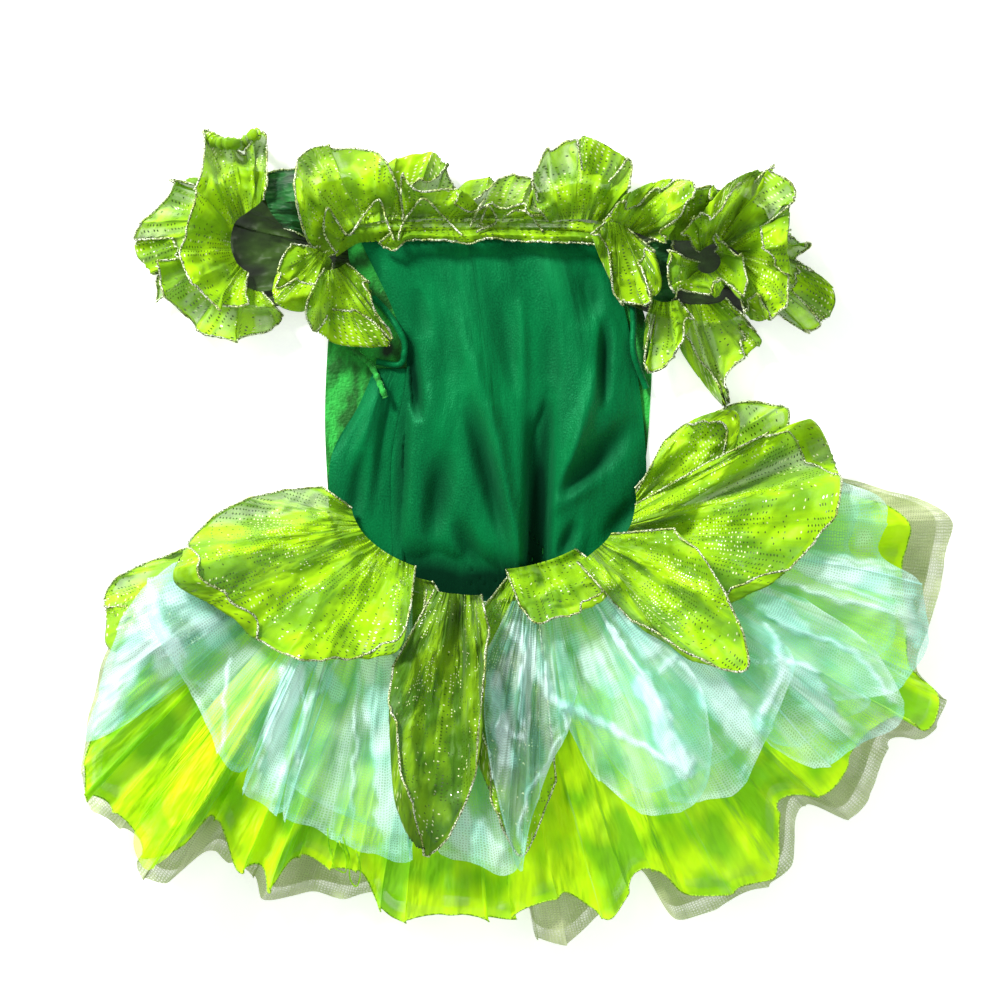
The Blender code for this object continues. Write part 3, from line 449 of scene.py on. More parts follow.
# Where the tulle lies doubled or bunched up: the line along its middle, half its width in steps,
# and how dense it is there, 0 to 1
Band = namedtuple("Band", "across down end_across end_down width density")

TULLE_BANDS = [
    (148, 596, 172, 664, 14, 0.8), (142, 640, 98, 738, 15, 0.9), (180, 590, 226, 642, 12, 0.5),
    (292, 672, 268, 790, 12, 1.0), (376, 660, 394, 846, 13, 0.8), (318, 662, 336, 690, 9, 0.6),
    (606, 590, 648, 646, 12, 0.7), (642, 680, 682, 764, 11, 1.0), (690, 650, 738, 728, 16, 0.7),
    (760, 596, 800, 626, 10, 0.6), (800, 560, 908, 590, 12, 0.9), (792, 672, 836, 728, 12, 0.7),
    (900, 600, 922, 650, 9, 1.0), (516, 630, 538, 668, 10, 0.7), (492, 680, 506, 756, 9, 0.7),
    (846, 500, 872, 540, 16, 0.4), (448, 810, 496, 862, 18, 0.8), (580, 640, 610, 690, 12, 0.5),
]
TULLE_RIDGES = [
    (137, 580, 177, 670, 2.4, 0.8), (160, 613, 190, 657, 2.0, 0.7), (230, 657, 227, 757, 2.4, 0.8),
    (303, 652, 257, 790, 2.4, 0.9), (301, 664, 305, 712, 2.2, 0.8), (305, 712, 300, 757, 2.2, 0.7),
    (343, 657, 303, 710, 2.2, 0.6), (360, 670, 353, 837, 2.0, 0.5), (391, 657, 400, 803, 2.4, 0.8),
    (400, 803, 410, 850, 2.6, 0.9), (524, 630, 520, 722, 2.6, 0.9), (490, 678, 500, 722, 2.6, 0.9),
    (500, 722, 520, 738, 2.6, 0.9), (532, 666, 564, 706, 4.0, 1.0), (564, 706, 620, 730, 4.0, 1.0),
    (620, 730, 688, 770, 3.0, 0.9), (596, 606, 636, 666, 2.4, 0.8), (636, 666, 692, 770, 3.0, 1.0),
    (560, 710, 568, 734, 2.6, 0.9), (568, 734, 524, 794, 2.4, 0.7), (524, 794, 520, 850, 2.4, 0.8),
    (780, 660, 756, 732, 4.0, 1.0), (756, 732, 738, 776, 3.0, 0.9), (786, 658, 812, 670, 2.6, 0.9),
    (812, 670, 840, 726, 2.6, 0.9), (662, 672, 676, 655, 2.6, 0.7), (676, 655, 780, 658, 2.2, 0.6),
    (768, 614, 856, 654, 2.6, 0.9), (856, 654, 892, 700, 2.6, 0.9), (760, 622, 780, 656, 2.4, 0.8),
    (808, 550, 906, 572, 2.0, 0.6), (788, 566, 908, 614, 2.0, 0.7), (780, 582, 918, 622, 2.0, 0.7),
]
BEND = 2.5 * MM  # how far the lines of the bands and ridges wander
BAND_RISE = 3.0  # mm over the cloth beside it, for a doubled band
RIDGE_RISE = 3.5
BAND_EDGE = 8  # how sharply a band ends at its sides
RIDGE_EDGE = 3

DARKEST = 11.0  # the depth in mm of a crease that is painted fully dark, as shade
SEAM_PLEAT = 5.5  # the length of one small gather along a seam, in mm
EDGE_WAVE = 21.0  # the length of one short wave along a free edge, in mm
TURN_HEIGHT = 3.5  # mm by which a turned-back edge stands over the piece
HEM_PARTS = 12  # the turning grows over the first and the last of so many parts of the hem
TURN_BEND = 0.1  # the share of the drop over which a turned-back edge rises
EDGE_FADE = 0.12  # the share of the drop over which the short waves die out
CRUMPLES = ((47, 0.5), (29, 0.45), (17, 0.3), (10, 0.15))  # each kind's length in mm, and its share


def spans(line):
    """The length from each point of a line to the next."""
    return np.linalg.norm(np.diff(line, axis=0), axis=1)


def hem_length(surface):
    return float(spans(surface[:, -1]).sum())


def wave(places, count, key):
    """An uneven wave of a given count along 0 to 1, always the same for the same key."""
    bend = 0.30 * np.sin(2 * math.pi * (places * 3.1 + key * 0.37))
    bend += 0.18 * np.sin(2 * math.pi * (places * 7.3 + key * 0.71))
    return 2 * math.pi * (count * places + bend * min(1.0, count / 10) + key * 0.618)


def crumpled(plan, key):
    """Uneven low hills over the plan, from -1 to 1."""
    x, y = plan[..., 0] / MM, plan[..., 1] / MM
    hills = np.zeros(x.shape)
    for k, (length, share) in enumerate(CRUMPLES):
        turn = 1.9 * k + key * 2.4
        along = x * math.cos(turn) + y * math.sin(turn)
        aside = y * math.cos(turn + 0.9) - x * math.sin(turn + 0.9)
        sway = 2 * np.sin(2 * math.pi * aside / (1.7 * length))
        hills += share * np.sin(2 * math.pi * along / length + sway)
    return hills


def unit(vectors):
    """Each vector at length 1, and one of no length as it is."""
    return vectors / np.maximum(np.linalg.norm(vectors, axis=-1, keepdims=True), 1e-9)


def gathered(surface, gathers):
    """Adds pleats to a swept grid: small ones at its seam and larger, leaning ones at its hem."""
    count, steps = surface.shape[:2]
    u = np.linspace(0, 1, count)[:, None]
    v = np.linspace(0, 1, steps)[None, :]
    key = gathers.key
    hem = hem_length(surface) / MM
    seam = spans(surface[:, 0]).sum() / MM
    pleats = max(hem / gathers.pleat, 1.5)
    drift = 0.6 * np.sin(5 * v + key) + 0.25 * np.sin(11 * v + 2 * key)
    large = wave(u, pleats, key) + drift
    uneven = 0.6 + 0.4 * np.sin(wave(u, pleats * 0.31, key + 3))
    small = wave(u, max(seam / SEAM_PLEAT, pleats * 1.7), key + 5) + 1.5 * v
    short = wave(u, hem / EDGE_WAVE, key + 9)
    grow = v ** 0.8
    fading = np.exp(-v / gathers.fade) * (1 - 0.3 * v)
    at_edge = gathers.curl * np.exp((v - 1) / EDGE_FADE) * (0.6 + 0.4 * np.sin(large + 1))
    height = uneven * gathers.height * grow * (1 + np.sin(large)) / 2
    height = height + gathers.seam_height * fading * (1 + np.sin(small)) / 2
    height = height + gathers.crumple * v ** 0.5 * (1 + crumpled(surface[..., :2], key)) / 2
    height = height + at_edge * (1 + np.sin(short)) / 2
    aside = gathers.lean * grow * uneven * np.cos(large + 0.5) + at_edge * 0.7 * np.cos(short)
    outward = gathers.wobble * v ** 1.5 * uneven * np.sin(large + 1.3)
    outward = outward + at_edge * 0.5 * np.sin(short + 2)
    along = unit(np.gradient(surface[..., :2], axis=0))
    away = unit(surface[:, -1:, :2] - surface[:, :1, :2])
    out = surface.copy()
    out[..., 2] += MM * height
    out[..., :2] += MM * (along * aside[..., None] + away * outward[..., None])
    return out


def beside(surface, line):
    """How far each point of a grid is from a straight line, in steps, and how far along it."""
    start = np.array(on_grid(line.across, line.down))
    run = np.array(on_grid(line.end_across, line.end_down)) - start
    away = surface[..., :2] - start
    share = np.clip((away @ run) / (run @ run), 0, 1)
    return np.linalg.norm(away - share[..., None] * run, axis=-1) / STEP, share


def banded(surface):
    """Raises the tulle where it lies doubled, and tells how dense it is, 0 to 1."""
    out = surface.copy()
    bent = surface.copy()
    bent[..., :2] += BEND * np.stack([crumpled(surface, 1), crumpled(surface, 2)], axis=-1)
    dense = np.zeros(surface.shape[:2])
    kinds = ((TULLE_BANDS, BAND_RISE, BAND_EDGE), (TULLE_RIDGES, RIDGE_RISE, RIDGE_EDGE))
    for table, rise, power in kinds:
        for band in (Band(*row) for row in table):
            distance, share = beside(bent, band)
            raised = band.density * np.exp(-(distance / band.width) ** power)
            raised *= 0.6 + 0.4 * np.sin(math.pi * (0.15 + 0.7 * share))
            dense = np.maximum(dense, raised)
            out[..., 2] += MM * rise * raised
    return out, dense


def turned(surface, amount, spacing, key):
    """Turns the free edge back over the piece by up to a share of its drop, once every spacing."""
    count, steps = surface.shape[:2]
    u = np.linspace(0, 1, count)
    ends = np.clip(HEM_PARTS * np.minimum(u, 1 - u), 0, 1)
    swing = ends * np.sin(wave(u, max(hem_length(surface) / MM / spacing, 1.0), key + 7))
    turn = (amount * np.clip(1.4 * swing, 0, 1) ** 0.7)[:, None]
    v = np.linspace(0, 1, steps)[None, :]
    beyond = np.maximum(v - (1 - turn), 0)
    place = np.where(beyond > 0, 1 - beyond / (1 - turn), v / (1 - turn)) * (steps - 1)
    low = np.minimum(place.astype(int), steps - 2)
    share = (place - low)[..., None]
    row = np.arange(count)[:, None]
    out = surface[row, low] * (1 - share) + surface[row, low + 1] * share
    out[..., 2] += MM * TURN_HEIGHT * np.sqrt(np.clip(beyond / TURN_BEND, 0, 1))
    return out


def creased(surface, creases):
    """Presses creases into a panel, and tells how deep (to 1) or high (to -1) each place is, as painted
    shade in creases and a painted highlight on ridges.
    """
    out = surface.copy()
    shade = np.zeros(surface.shape[:2])
    for crease in (Crease(*row) for row in creases):
        distance, share = beside(surface, crease)
        ends = 0.10 + 0.90 * np.sin(math.pi * (0.04 + 0.92 * share))
        pressed = ends * np.exp(-(distance / crease.width) ** 2)
        out[..., 2] -= MM * crease.depth * pressed
        if crease.depth > 0:
            shade = np.maximum(shade, pressed * crease.depth / DARKEST)
        else:
            shade = np.where(shade > 0.1, shade, pressed * crease.depth / DARKEST)
    return out, np.clip(shade, -1, 1)


class Pile:
    """The height of all that is laid so far, over the floor."""

    CELL = 1.0 * MM
    HALF_SIDE = 340 * MM
    FINER = 3  # times as many rows are laid as a sheet has, so that no cell is missed

    def __init__(self):
        count = int(2 * self.HALF_SIDE / self.CELL) + 1
        self.top = np.zeros((count, count))

    def cells(self, points):
        index = np.rint((points[..., :2] + self.HALF_SIDE) / self.CELL).astype(int)
        return index[..., 0], index[..., 1]

    def lay(self, surface):
        """Raises the pile to the upper side of a sheet."""
        fine = surface
        for axis in (0, 1):
            fine = between(fine, axis, self.FINER)
        np.maximum.at(self.top, self.cells(fine), fine[..., 2])

    def clearance(self):
        """How high the next sheet has to lie in each cell, over the cell and its neighbours."""
        highest = self.top.copy()
        for i in (-1, 0, 1):
            for j in (-1, 0, 1):
                highest = np.maximum(highest, np.roll(self.top, (i, j), (0, 1)))
        return np.where(highest > 0, highest + SEAM_GAP, 0)

    def draped(self, surface, easing):
        """The sheet lifted onto the pile, without following its narrow pits."""
        needed = self.clearance()[self.cells(surface)]
        heights = needed.copy()
        for _ in range(easing):
            heights = np.maximum(needed, neighbour_mean(heights))
        lifted = surface.copy()
        lifted[..., 2] += heights
        return lifted


def between(surface, axis, parts):
    """The grid with more rows put in between its rows, along one axis."""
    count = surface.shape[axis] - 1
    places = np.linspace(0, count, count * parts + 1)
    first = np.minimum(places.astype(int), count - 1)
    share = np.moveaxis((places - first)[:, None, None], 0, axis)
    low, high = np.take(surface, first, axis), np.take(surface, first + 1, axis)
    return low + (high - low) * share


class Shader:
    """Short ways to put nodes into a material, most of them giving back an output socket."""

    def __init__(self, name):
        self.material = bpy.data.materials.new(name)
        self.material.use_nodes = True
        self.tree = self.material.node_tree
        self.tree.nodes.clear()
        self.count = 0

    def add(self, kind, inputs=(), **settings):
        """A new node, with values or the outputs of other nodes put on its inputs."""
        node = self.tree.nodes.new(kind)
        self.count += 1
        node.location = (180 * (self.count % 9), -160 * (self.count // 9))
        for key, value in settings.items():
            setattr(node, key, value)
        for key, value in dict(inputs).items():
            self.put(node.inputs[key], value)
        return node

    def put(self, socket, value):
        if isinstance(value, bpy.types.NodeSocket):
            self.tree.links.new(value, socket)
        elif socket.type == "RGBA" and len(value) == 3:
            socket.default_value = (*value, 1)
        else:
            socket.default_value = value

    def cloth(self, across, down):
        """The place on the cloth: millimetres along the hem and down from the seam, scaled."""
        places = self.add("ShaderNodeUVMap", uv_map="cloth").outputs["UV"]
        scale = (1000 * across, 1000 * down, 1)
        return self.add("ShaderNodeMapping", {"Vector": places, "Scale": scale}).outputs["Vector"]

    def noise(self, where, detail):
        inputs = {"Vector": where, "Scale": 1, "Detail": detail}
        return self.add("ShaderNodeTexNoise", inputs, noise_dimensions="2D").outputs["Fac"]

    def cells(self, where, feature, spread):
        inputs = {"Vector": where, "Scale": 1, "Randomness": spread}
        return self.add("ShaderNodeTexVoronoi", inputs, feature=feature, voronoi_dimensions="2D")

    def ranged(self, value, low, high, to_low=0.0, to_high=1.0):
        inputs = dict(enumerate((value, low, high, to_low, to_high)))
        return self.add("ShaderNodeMapRange", inputs).outputs["Result"]

    def math(self, operation, a, b=0.0):
        return self.add("ShaderNodeMath", {0: a, 1: b}, operation=operation).outputs[0]

    def blend(self, factor, a, b):
        """The colour between two colours; 6, 7 and 2 are the node's sockets for colours."""
        inputs = {"Factor": factor, 6: a, 7: b}
        return self.add("ShaderNodeMix", inputs, data_type="RGBA").outputs[2]

    def bump(self, height, strength, distance):
        inputs = {"Height": height, "Strength": strength, "Distance": distance}
        return self.add("ShaderNodeBump", inputs).outputs["Normal"]

    def steepness(self):
        """From 0 where the cloth lies flat to 1 where it stands upright."""
        normal = self.add("ShaderNodeNewGeometry").outputs["Normal"]
        upward = self.add("ShaderNodeSeparateXYZ", {0: normal}).outputs["Z"]
        return self.math("SUBTRACT", 1.0, self.math("ABSOLUTE", upward))

    def fold_shade(self):
        return self.add("ShaderNodeAttribute", attribute_name="fold_shade").outputs["Fac"]

    def open_sky(self, reach):
        """How open the place is, from 0 deep in a fold to 1, looking as far as the reach."""
        inputs = {"Distance": reach}
        return self.add("ShaderNodeAmbientOcclusion", inputs, samples=2).outputs["AO"]

    def principled(self, colour, roughness, **others):
        inputs = {"Base Color": colour, "Roughness": roughness}
        inputs |= {name.replace("_", " "): value for name, value in others.items()}
        return self.add("ShaderNodeBsdfPrincipled", inputs).outputs["BSDF"]

    def clear(self, tint):
        return self.add("ShaderNodeBsdfTransparent", {"Color": tint}).outputs[0]

    def mixed(self, factor, a, b):
        return self.add("ShaderNodeMixShader", {0: factor, 1: a, 2: b}).outputs[0]

    def lit_through(self, surface, tint):
        """The shader, with light from the lamps let through in a plain tint."""
        shadow_ray = self.add("ShaderNodeLightPath").outputs["Is Shadow Ray"]
        return self.mixed(shadow_ray, surface, self.clear(tint))

    def done(self, surface):
        self.material.cycles.emission_sampling = "NONE"
        self.add("ShaderNodeOutputMaterial", {"Surface": surface})
        return self.material


# A sheer cloth: its two colours, how dense it is and by how much its bands differ, how much
# denser it looks where it is seen along its surface, the mesh of its net in mm, the share of
# light that it lets through, its wrinkles across and down per mm, how brightly it glows in its
# own colour, a painted glow that brightens it in shade, and the share of its flecks
Sheer = namedtuple("Sheer", "light deep opacity band steep net glow wrinkle neon glitter")

SHEERS = {
    "net": Sheer(
        (0.52, 0.59, 0.32), (0.34, 0.43, 0.17), 0.54, 0.12, 0.5, 1.7, 0.3, (0.10, 0.03), 0.05, 0,
    ),
    "organza": Sheer(
        (0.58, 0.96, 0.0), (0.22, 0.60, 0.0), 0.86, 0.12, 0.5, 0, 0.3, (0.10, 0.03), 0.22, 0,
    ),
    "aqua_tulle": Sheer(
        (0.74, 0.97, 0.95), (0.34, 0.82, 0.70), 0.27, 0.09, 0.3, 1.9, 0.3, (0.05, 0.02), 0.1, 0,
    ),
    "glitter_organza": Sheer(
        (0.46, 0.86, 0.0), (0.22, 0.50, 0.0), 0.87, 0.12, 0.5, 0, 0.22, (0.04, 0.04), 0.1, 0.5,
    ),
}
OTHER_CLOTHS = {
    "organza_roll": Sheer(
        (0.74, 1.0, 0.0), (0.50, 0.92, 0.0), 0.95, 0.04, 0.3, 0, 0.3, (0.10, 0.03), 0.3, 0,
    ),
    "under_tulle": Sheer(
        (0.62, 0.92, 0.88), (0.28, 0.76, 0.64), 0.12, 0.08, 0.3, 1.9, 0.3, (0.05, 0.02), 0, 0,
    ),
    # A darker copy of the glitter organza: painted shade for the petals that lie low in the trough at
    # the waist
    "centre_petal": Sheer(
        (0.24, 0.48, 0.0), (0.07, 0.20, 0.0), 0.92, 0.04, 0.4, 0, 0.15, (0.04, 0.04), 0.05, 0.35,
    ),
    # Nearly black: painted shade for the caps deep inside the sleeves
    "inner_sleeve": Sheer(
        (0.025, 0.07, 0.0), (0.005, 0.016, 0), 0.97, 0.02, 0.2, 0, 0.05, (0.06, 0.05), 0, 0,
    ),
    "band": Sheer(
        (0.02, 0.16, 0.03), (0.0, 0.05, 0.01), 0.97, 0.02, 0.2, 0, 0.05, (0.10, 0.05), 0, 0,
    ),
}
GLITTER_PAINTED_SHADE = (0.03, 0.08, 0.0)  # painted shade of the glitter organza deep between its folds
DENSEST = 0.97  # of any sheer cloth, also where it lies doubled
CLEAR_TINT = 0.16  # the share of its colour that it gives to what is seen through it
SHADOW_TINT = 0.15  # the share of its colour that cloth gives to the light that falls through it


def sheer_cloth(name, sheer):
    """Sheer cloth: denser on steep folds and along its threads, with bands down its length, a painted
    glow in its own colour, and painted shade deep in the folds of the glitter organza.
    """
    s = Shader(name)
    band = s.noise(s.cloth(0.028, 0.004), 1)
    streak = s.noise(s.cloth(0.16, 0.012), 2)
    blotch = s.noise(s.cloth(0.03, 0.03), 1)
    bands = s.math("ADD", s.math("MULTIPLY", band, 0.8), s.math("MULTIPLY", streak, 0.2))
    dense = s.fold_shade()
    tone = s.ranged(s.math("ADD", bands, blotch), 0.85, 1.15)
    colour = s.blend(s.math("ADD", tone, s.math("MULTIPLY", dense, 0.5)), sheer.deep, sheer.light)
    # Painted shade: the glitter organza darkens where its own folds and other cloth close over it
    if sheer.glitter:
        colour = s.blend(s.ranged(s.open_sky(0.022), 0.1, 0.75), GLITTER_PAINTED_SHADE, colour)
    density = s.ranged(bands, 0.46, 0.55, sheer.opacity - sheer.band, sheer.opacity + sheer.band)
    density = s.math("ADD", density, s.math("MULTIPLY", dense, 0.62))
    steep = s.math("POWER", s.steepness(), 1.2)
    density = s.math("ADD", density, s.math("MULTIPLY", steep, sheer.steep))
    if sheer.net:
        where = s.cloth(1 / sheer.net, 1 / sheer.net)
        thread = s.cells(where, "DISTANCE_TO_EDGE", 0.4).outputs["Distance"]
        density = s.math("MULTIPLY", density, s.ranged(thread, 0.02, 0.32, 1.5, 0.7))
    density = s.math("MINIMUM", density, DENSEST)
    wrinkle = s.noise(s.cloth(*sheer.wrinkle), 2)
    normal = s.bump(wrinkle, 0.8, 0.006)
    # The emission is a painted glow in the cloth's own colour, brightening it where it lies in shade
    body = s.principled(
        colour, 0.5, Normal=normal, Sheen_Weight=0.15, Specular_IOR_Level=0.2,
        Emission_Color=colour, Emission_Strength=sheer.neon,
    )
    through = s.add("ShaderNodeBsdfTranslucent", {"Color": colour}).outputs[0]
    clear = s.clear(tuple(1 - (1 - c) * CLEAR_TINT for c in sheer.light))
    surface = s.mixed(density, clear, s.mixed(sheer.glow, body, through))
    if sheer.glitter:
        surface = with_glitter(s, surface, sheer.glitter)
    shadow = tuple((1 - sheer.opacity) + sheer.opacity * SHADOW_TINT * c for c in sheer.light)
    return s.done(s.lit_through(surface, shadow))


FLECK_GAPS = (4.6, 2.4)  # in mm, from row to row and from fleck to fleck
PALE_FLECK = (0.85, 0.9, 0.5)
DARK_FLECK = (0.04, 0.09, 0.0)


def with_glitter(s, surface, share):
    """Rows of small round flecks, dark or pale, in patches, with other patches nearly bare."""
    spots = s.cells(s.cloth(1 / FLECK_GAPS[0], 1 / FLECK_GAPS[1]), "F1", 0.22)
    near = s.ranged(spots.outputs["Distance"], 0.17, 0.23, 1, 0)
    pick = s.add("ShaderNodeSeparateColor", {0: spots.outputs["Color"]})
    patch = s.noise(s.cloth(0.03, 0.02), 2)
    wanted = s.ranged(patch, 0.42, 0.58, share * 0.2, share * 1.8)
    kept = s.math("LESS_THAN", pick.outputs[0], wanted)
    cluster = s.noise(s.cloth(0.022, 0.026), 1)
    dark = s.math("LESS_THAN", pick.outputs[1], s.ranged(cluster, 0.52, 0.64, 0.93, 0.3))
    fleck = s.blend(dark, PALE_FLECK, DARK_FLECK)
    # The flecks glow faintly in their own colour, a painted glint
    spark = s.principled(
        fleck, 0.25, Specular_IOR_Level=0.9, Emission_Color=fleck, Emission_Strength=0.05,
    )
    return s.mixed(s.math("MULTIPLY", near, kept), surface, spark)


SATIN_DEEP, SATIN_PLAIN = (0.0, 0.085, 0.022), (0.0, 0.145, 0.036)
# The second colour is a painted highlight laid on the satin's ridges
SATIN_GRAIN, SATIN_PAINTED_HIGHLIGHT = (0.005, 0.25, 0.07), (0.01, 0.27, 0.08)
SATIN_PAINTED_SHADE = (0.0, 0.008, 0.003)  # painted shade deep in a fold
SATIN_SHEEN, SATIN_GLOSS = (0.1, 0.9, 0.4), (0.1, 1.0, 0.45)


def satin_cloth():
    """Knitted satin: mottled, with fine grain, a painted highlight on its ridges and painted shade,
    nearly black, in its deep folds.
    """
    s = Shader("satin_knit")
    grain = s.noise(s.cloth(1.1, 0.7), 2)
    mottle = s.noise(s.cloth(0.035, 0.014), 4)
    colour = s.blend(s.ranged(mottle, 0.35, 0.65), SATIN_DEEP, SATIN_PLAIN)
    colour = s.blend(s.ranged(grain, 0.3, 0.7, 0, 0.35), colour, SATIN_GRAIN)
    # Painted shade: 1 where the satin lies open, falling to 0 in its creases and where other cloth lies
    # close over it
    crease_unshaded = s.ranged(s.fold_shade(), 0, 1, 1, 0)
    unshaded_share = s.math("MULTIPLY", s.ranged(s.open_sky(0.03), 0.1, 0.7), crease_unshaded)
    # Painted highlight: paler on the ridges
    colour = s.blend(s.ranged(s.fold_shade(), 0, -0.4, 0, 0.5), colour, SATIN_PAINTED_HIGHLIGHT)
    # Painted shade, nearly black, in the creases and hollows
    colour = s.blend(unshaded_share, SATIN_PAINTED_SHADE, colour)
    ripple = s.noise(s.cloth(0.05, 0.02), 3)
    normal = s.bump(s.math("ADD", s.math("MULTIPLY", grain, 0.12), ripple), 0.6, 0.004)
    body = s.principled(
        colour, s.ranged(unshaded_share, 0, 1, 0.9, 0.42), Normal=normal, Sheen_Weight=0.2,
        Sheen_Tint=SATIN_SHEEN, Specular_IOR_Level=0.4, Specular_Tint=SATIN_GLOSS,
    )
    return s.done(s.lit_through(body, (0.0, 0.0, 0.0)))


VELVET_DEEP, VELVET_LIT = (0.0, 0.12, 0.005), (0.02, 0.46, 0.05)
# The first colour here is painted shade, laid in the velvet's creases and the armhole's hole
VELVET_PAINTED_SHADE, VELVET_SHEEN = (0.0, 0.02, 0.004), (0.2, 1.0, 0.25)


def velvet_cloth():
    s = Shader("crushed_velvet")
    crush = s.noise(s.cloth(0.09, 0.05), 4)
    fine = s.noise(s.cloth(0.5, 0.5), 2)
    colour = s.blend(s.ranged(crush, 0.38, 0.62), VELVET_DEEP, VELVET_LIT)
    # Painted shade where the creases are pressed in
    colour = s.blend(s.ranged(s.fold_shade(), 0, 0.8), colour, VELVET_PAINTED_SHADE)
    normal = s.bump(s.math("ADD", crush, fine), 0.6, 0.0015)
    body = s.principled(
        colour, 0.75, Normal=normal, Sheen_Weight=1.0, Sheen_Tint=VELVET_SHEEN, Sheen_Roughness=0.35,
    )
    return s.done(body)


YELLOW_THREAD, SILVER_THREAD = (0.50, 0.60, 0.16), (0.80, 0.86, 0.66)
THREAD_GAP_SHADE = (0.08, 0.13, 0.01)  # painted shade between two turns of the metallic thread
STITCH_DEEP, STITCH_LIT = (0.16, 0.32, 0.0), (0.42, 0.72, 0.02)


def metallic_thread():
    """The metallic thread of the rolled edges, glinting in short turns, with painted shade between the
    turns.
    """
    s = Shader("metallic_edge")
    fleck = s.noise(s.cloth(0.75, 0.75), 1)
    tone = s.noise(s.cloth(0.1, 0.3), 2)
    pale = s.blend(s.ranged(tone, 0.35, 0.6), YELLOW_THREAD, SILVER_THREAD)
    colour = s.blend(s.ranged(fleck, 0.44, 0.52), THREAD_GAP_SHADE, pale)
    normal = s.bump(fleck, 0.8, 0.001)
    return s.done(s.principled(colour, 0.35, Metallic=0.35, Normal=normal))


def hem_thread():
    s = Shader("hem_stitches")
    stitch = s.ranged(s.noise(s.cloth(0.6, 0.2), 1), 0.42, 0.55)
    return s.done(s.principled(s.blend(stitch, STITCH_DEEP, STITCH_LIT), 0.6))


FLOOR_DULL, FLOOR_BRIGHT = (0.93, 0.93, 0.93), (0.95, 0.95, 0.95)
FLOOR_GLOW = 0.55  # so that it shows as a white ground, with the dress's shadow kept faint


def floor_paint():
    s = Shader("pale_floor")
    tone = s.noise(s.cloth(0.002, 0.002), 2)
    colour = s.blend(tone, FLOOR_DULL, FLOOR_BRIGHT)
    glow = {"Emission_Color": (1.0, 1.0, 1.0), "Emission_Strength": FLOOR_GLOW}
    return s.done(s.principled(colour, 0.8, Specular_IOR_Level=0.1, **glow))


def cloth_places(surface):
    """Metres along the hem and down from the seam, for each point of a grid."""
    middle = surface[:, surface.shape[1] * 2 // 3]
    along = np.concatenate([[0], np.cumsum(spans(middle))])
    drop = np.linalg.norm(np.diff(surface, axis=1), axis=-1)
    down = np.concatenate([np.zeros((len(surface), 1)), np.cumsum(drop, axis=1)], axis=1)
    return np.dstack([np.broadcast_to(along[:, None], down.shape), down])


LOOSE_FROM = 46 * MM  # the height from which the pile sinks in under its own weight
LOOSE_SHARE = 0.6  # of the height over it that stays


def settled(points):
    """The points, with the upper part of the pile sunk in."""
    lower = points.copy()
    lower[:, 2] -= np.maximum(points[:, 2] - LOOSE_FROM, 0) * (1 - LOOSE_SHARE)
    return lower


def add_mesh(name, vertices, faces, places, material):
    mesh = bpy.data.meshes.new(name)
    mesh.vertices.add(len(vertices))
    mesh.vertices.foreach_set("co", settled(vertices).ravel())
    mesh.loops.add(faces.size)
    mesh.loops.foreach_set("vertex_index", faces.ravel())
    mesh.polygons.add(len(faces))
    mesh.polygons.foreach_set("loop_start", np.arange(len(faces)) * faces.shape[1])
    mesh.update()
    layer = mesh.uv_layers.new(name="cloth")
    layer.data.foreach_set("uv", places[faces.ravel()].ravel())
    mesh.shade_smooth()
    mesh.materials.append(material)
    mesh.validate()
    obj = bpy.data.objects.new(name, mesh)
    bpy.context.scene.collection.objects.link(obj)
    return obj


def add_grid(name, surface, places, material):
    """A mesh of four-sided faces over a grid of points."""
    rows, columns = surface.shape[:2]
    index = np.arange(rows * columns).reshape(rows, columns)
    faces = np.stack([index[:-1, :-1], index[1:, :-1], index[1:, 1:], index[:-1, 1:]], -1)
    return add_mesh(
        name, surface.reshape(-1, 3), faces.reshape(-1, 4), places.reshape(-1, 2), material,
    )


def add_sheet(name, surface, material, shade):
    obj = add_grid(name, surface, cloth_places(surface), material)
    layer = obj.data.attributes.new("fold_shade", "FLOAT", "POINT")
    layer.data.foreach_set("value", shade.ravel())
    return obj


def add_tube(name, line, radius, material, sides=6, roughness=0.0, key=0):
    """A round thread or binding along a line of points."""
    run = unit(np.gradient(line, axis=0))
    aside = unit(np.cross(run, [0, 0, 1.0]))
    up = np.cross(aside, run)
    angles = np.linspace(0, 2 * math.pi, sides + 1)
    along = np.concatenate([[0], np.cumsum(spans(line))])
    uneven = 1 + roughness * np.sin(along / MM * 1.9 + key) * np.sin(along / MM * 0.83 + 2 * key)
    ring = aside[:, None] * np.cos(angles)[:, None] + up[:, None] * np.sin(angles)[:, None]
    surface = line[:, None] + ring * (radius * uneven)[:, None, None]
    places = np.dstack(np.broadcast_arrays(along[:, None], angles[None] * radius))
    return add_grid(name, surface, places, material)


def area_of(surface):
    a, b = surface[1:, :-1] - surface[:-1, :-1], surface[:-1, 1:] - surface[:-1, :-1]
    return float(np.linalg.norm(np.cross(a, b), axis=-1).sum())


CUT_SHARE = 0.6  # the least share of its rectangle that a petal or fan is taken to fill


def declare(obj, surface, trims=()):
    """Ties a sheet and its trims to the frame, in place of its solid, which it hides. It works out the
    size of the cut, but does not use it.
    """
    places = cloth_places(surface)
    width = max(float(places[-1, 0, 0]), hem_length(surface))
    length = float(places[:, -1, 1].mean())
    area = area_of(surface)
    if area < CUT_SHARE * width * length:
        width = area / (CUT_SHARE * length)
    area = min(area, width * length)
    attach(obj, "root")
    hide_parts(obj.name[len("cloth_"):])
    for trim in trims:
        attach(trim, "root")


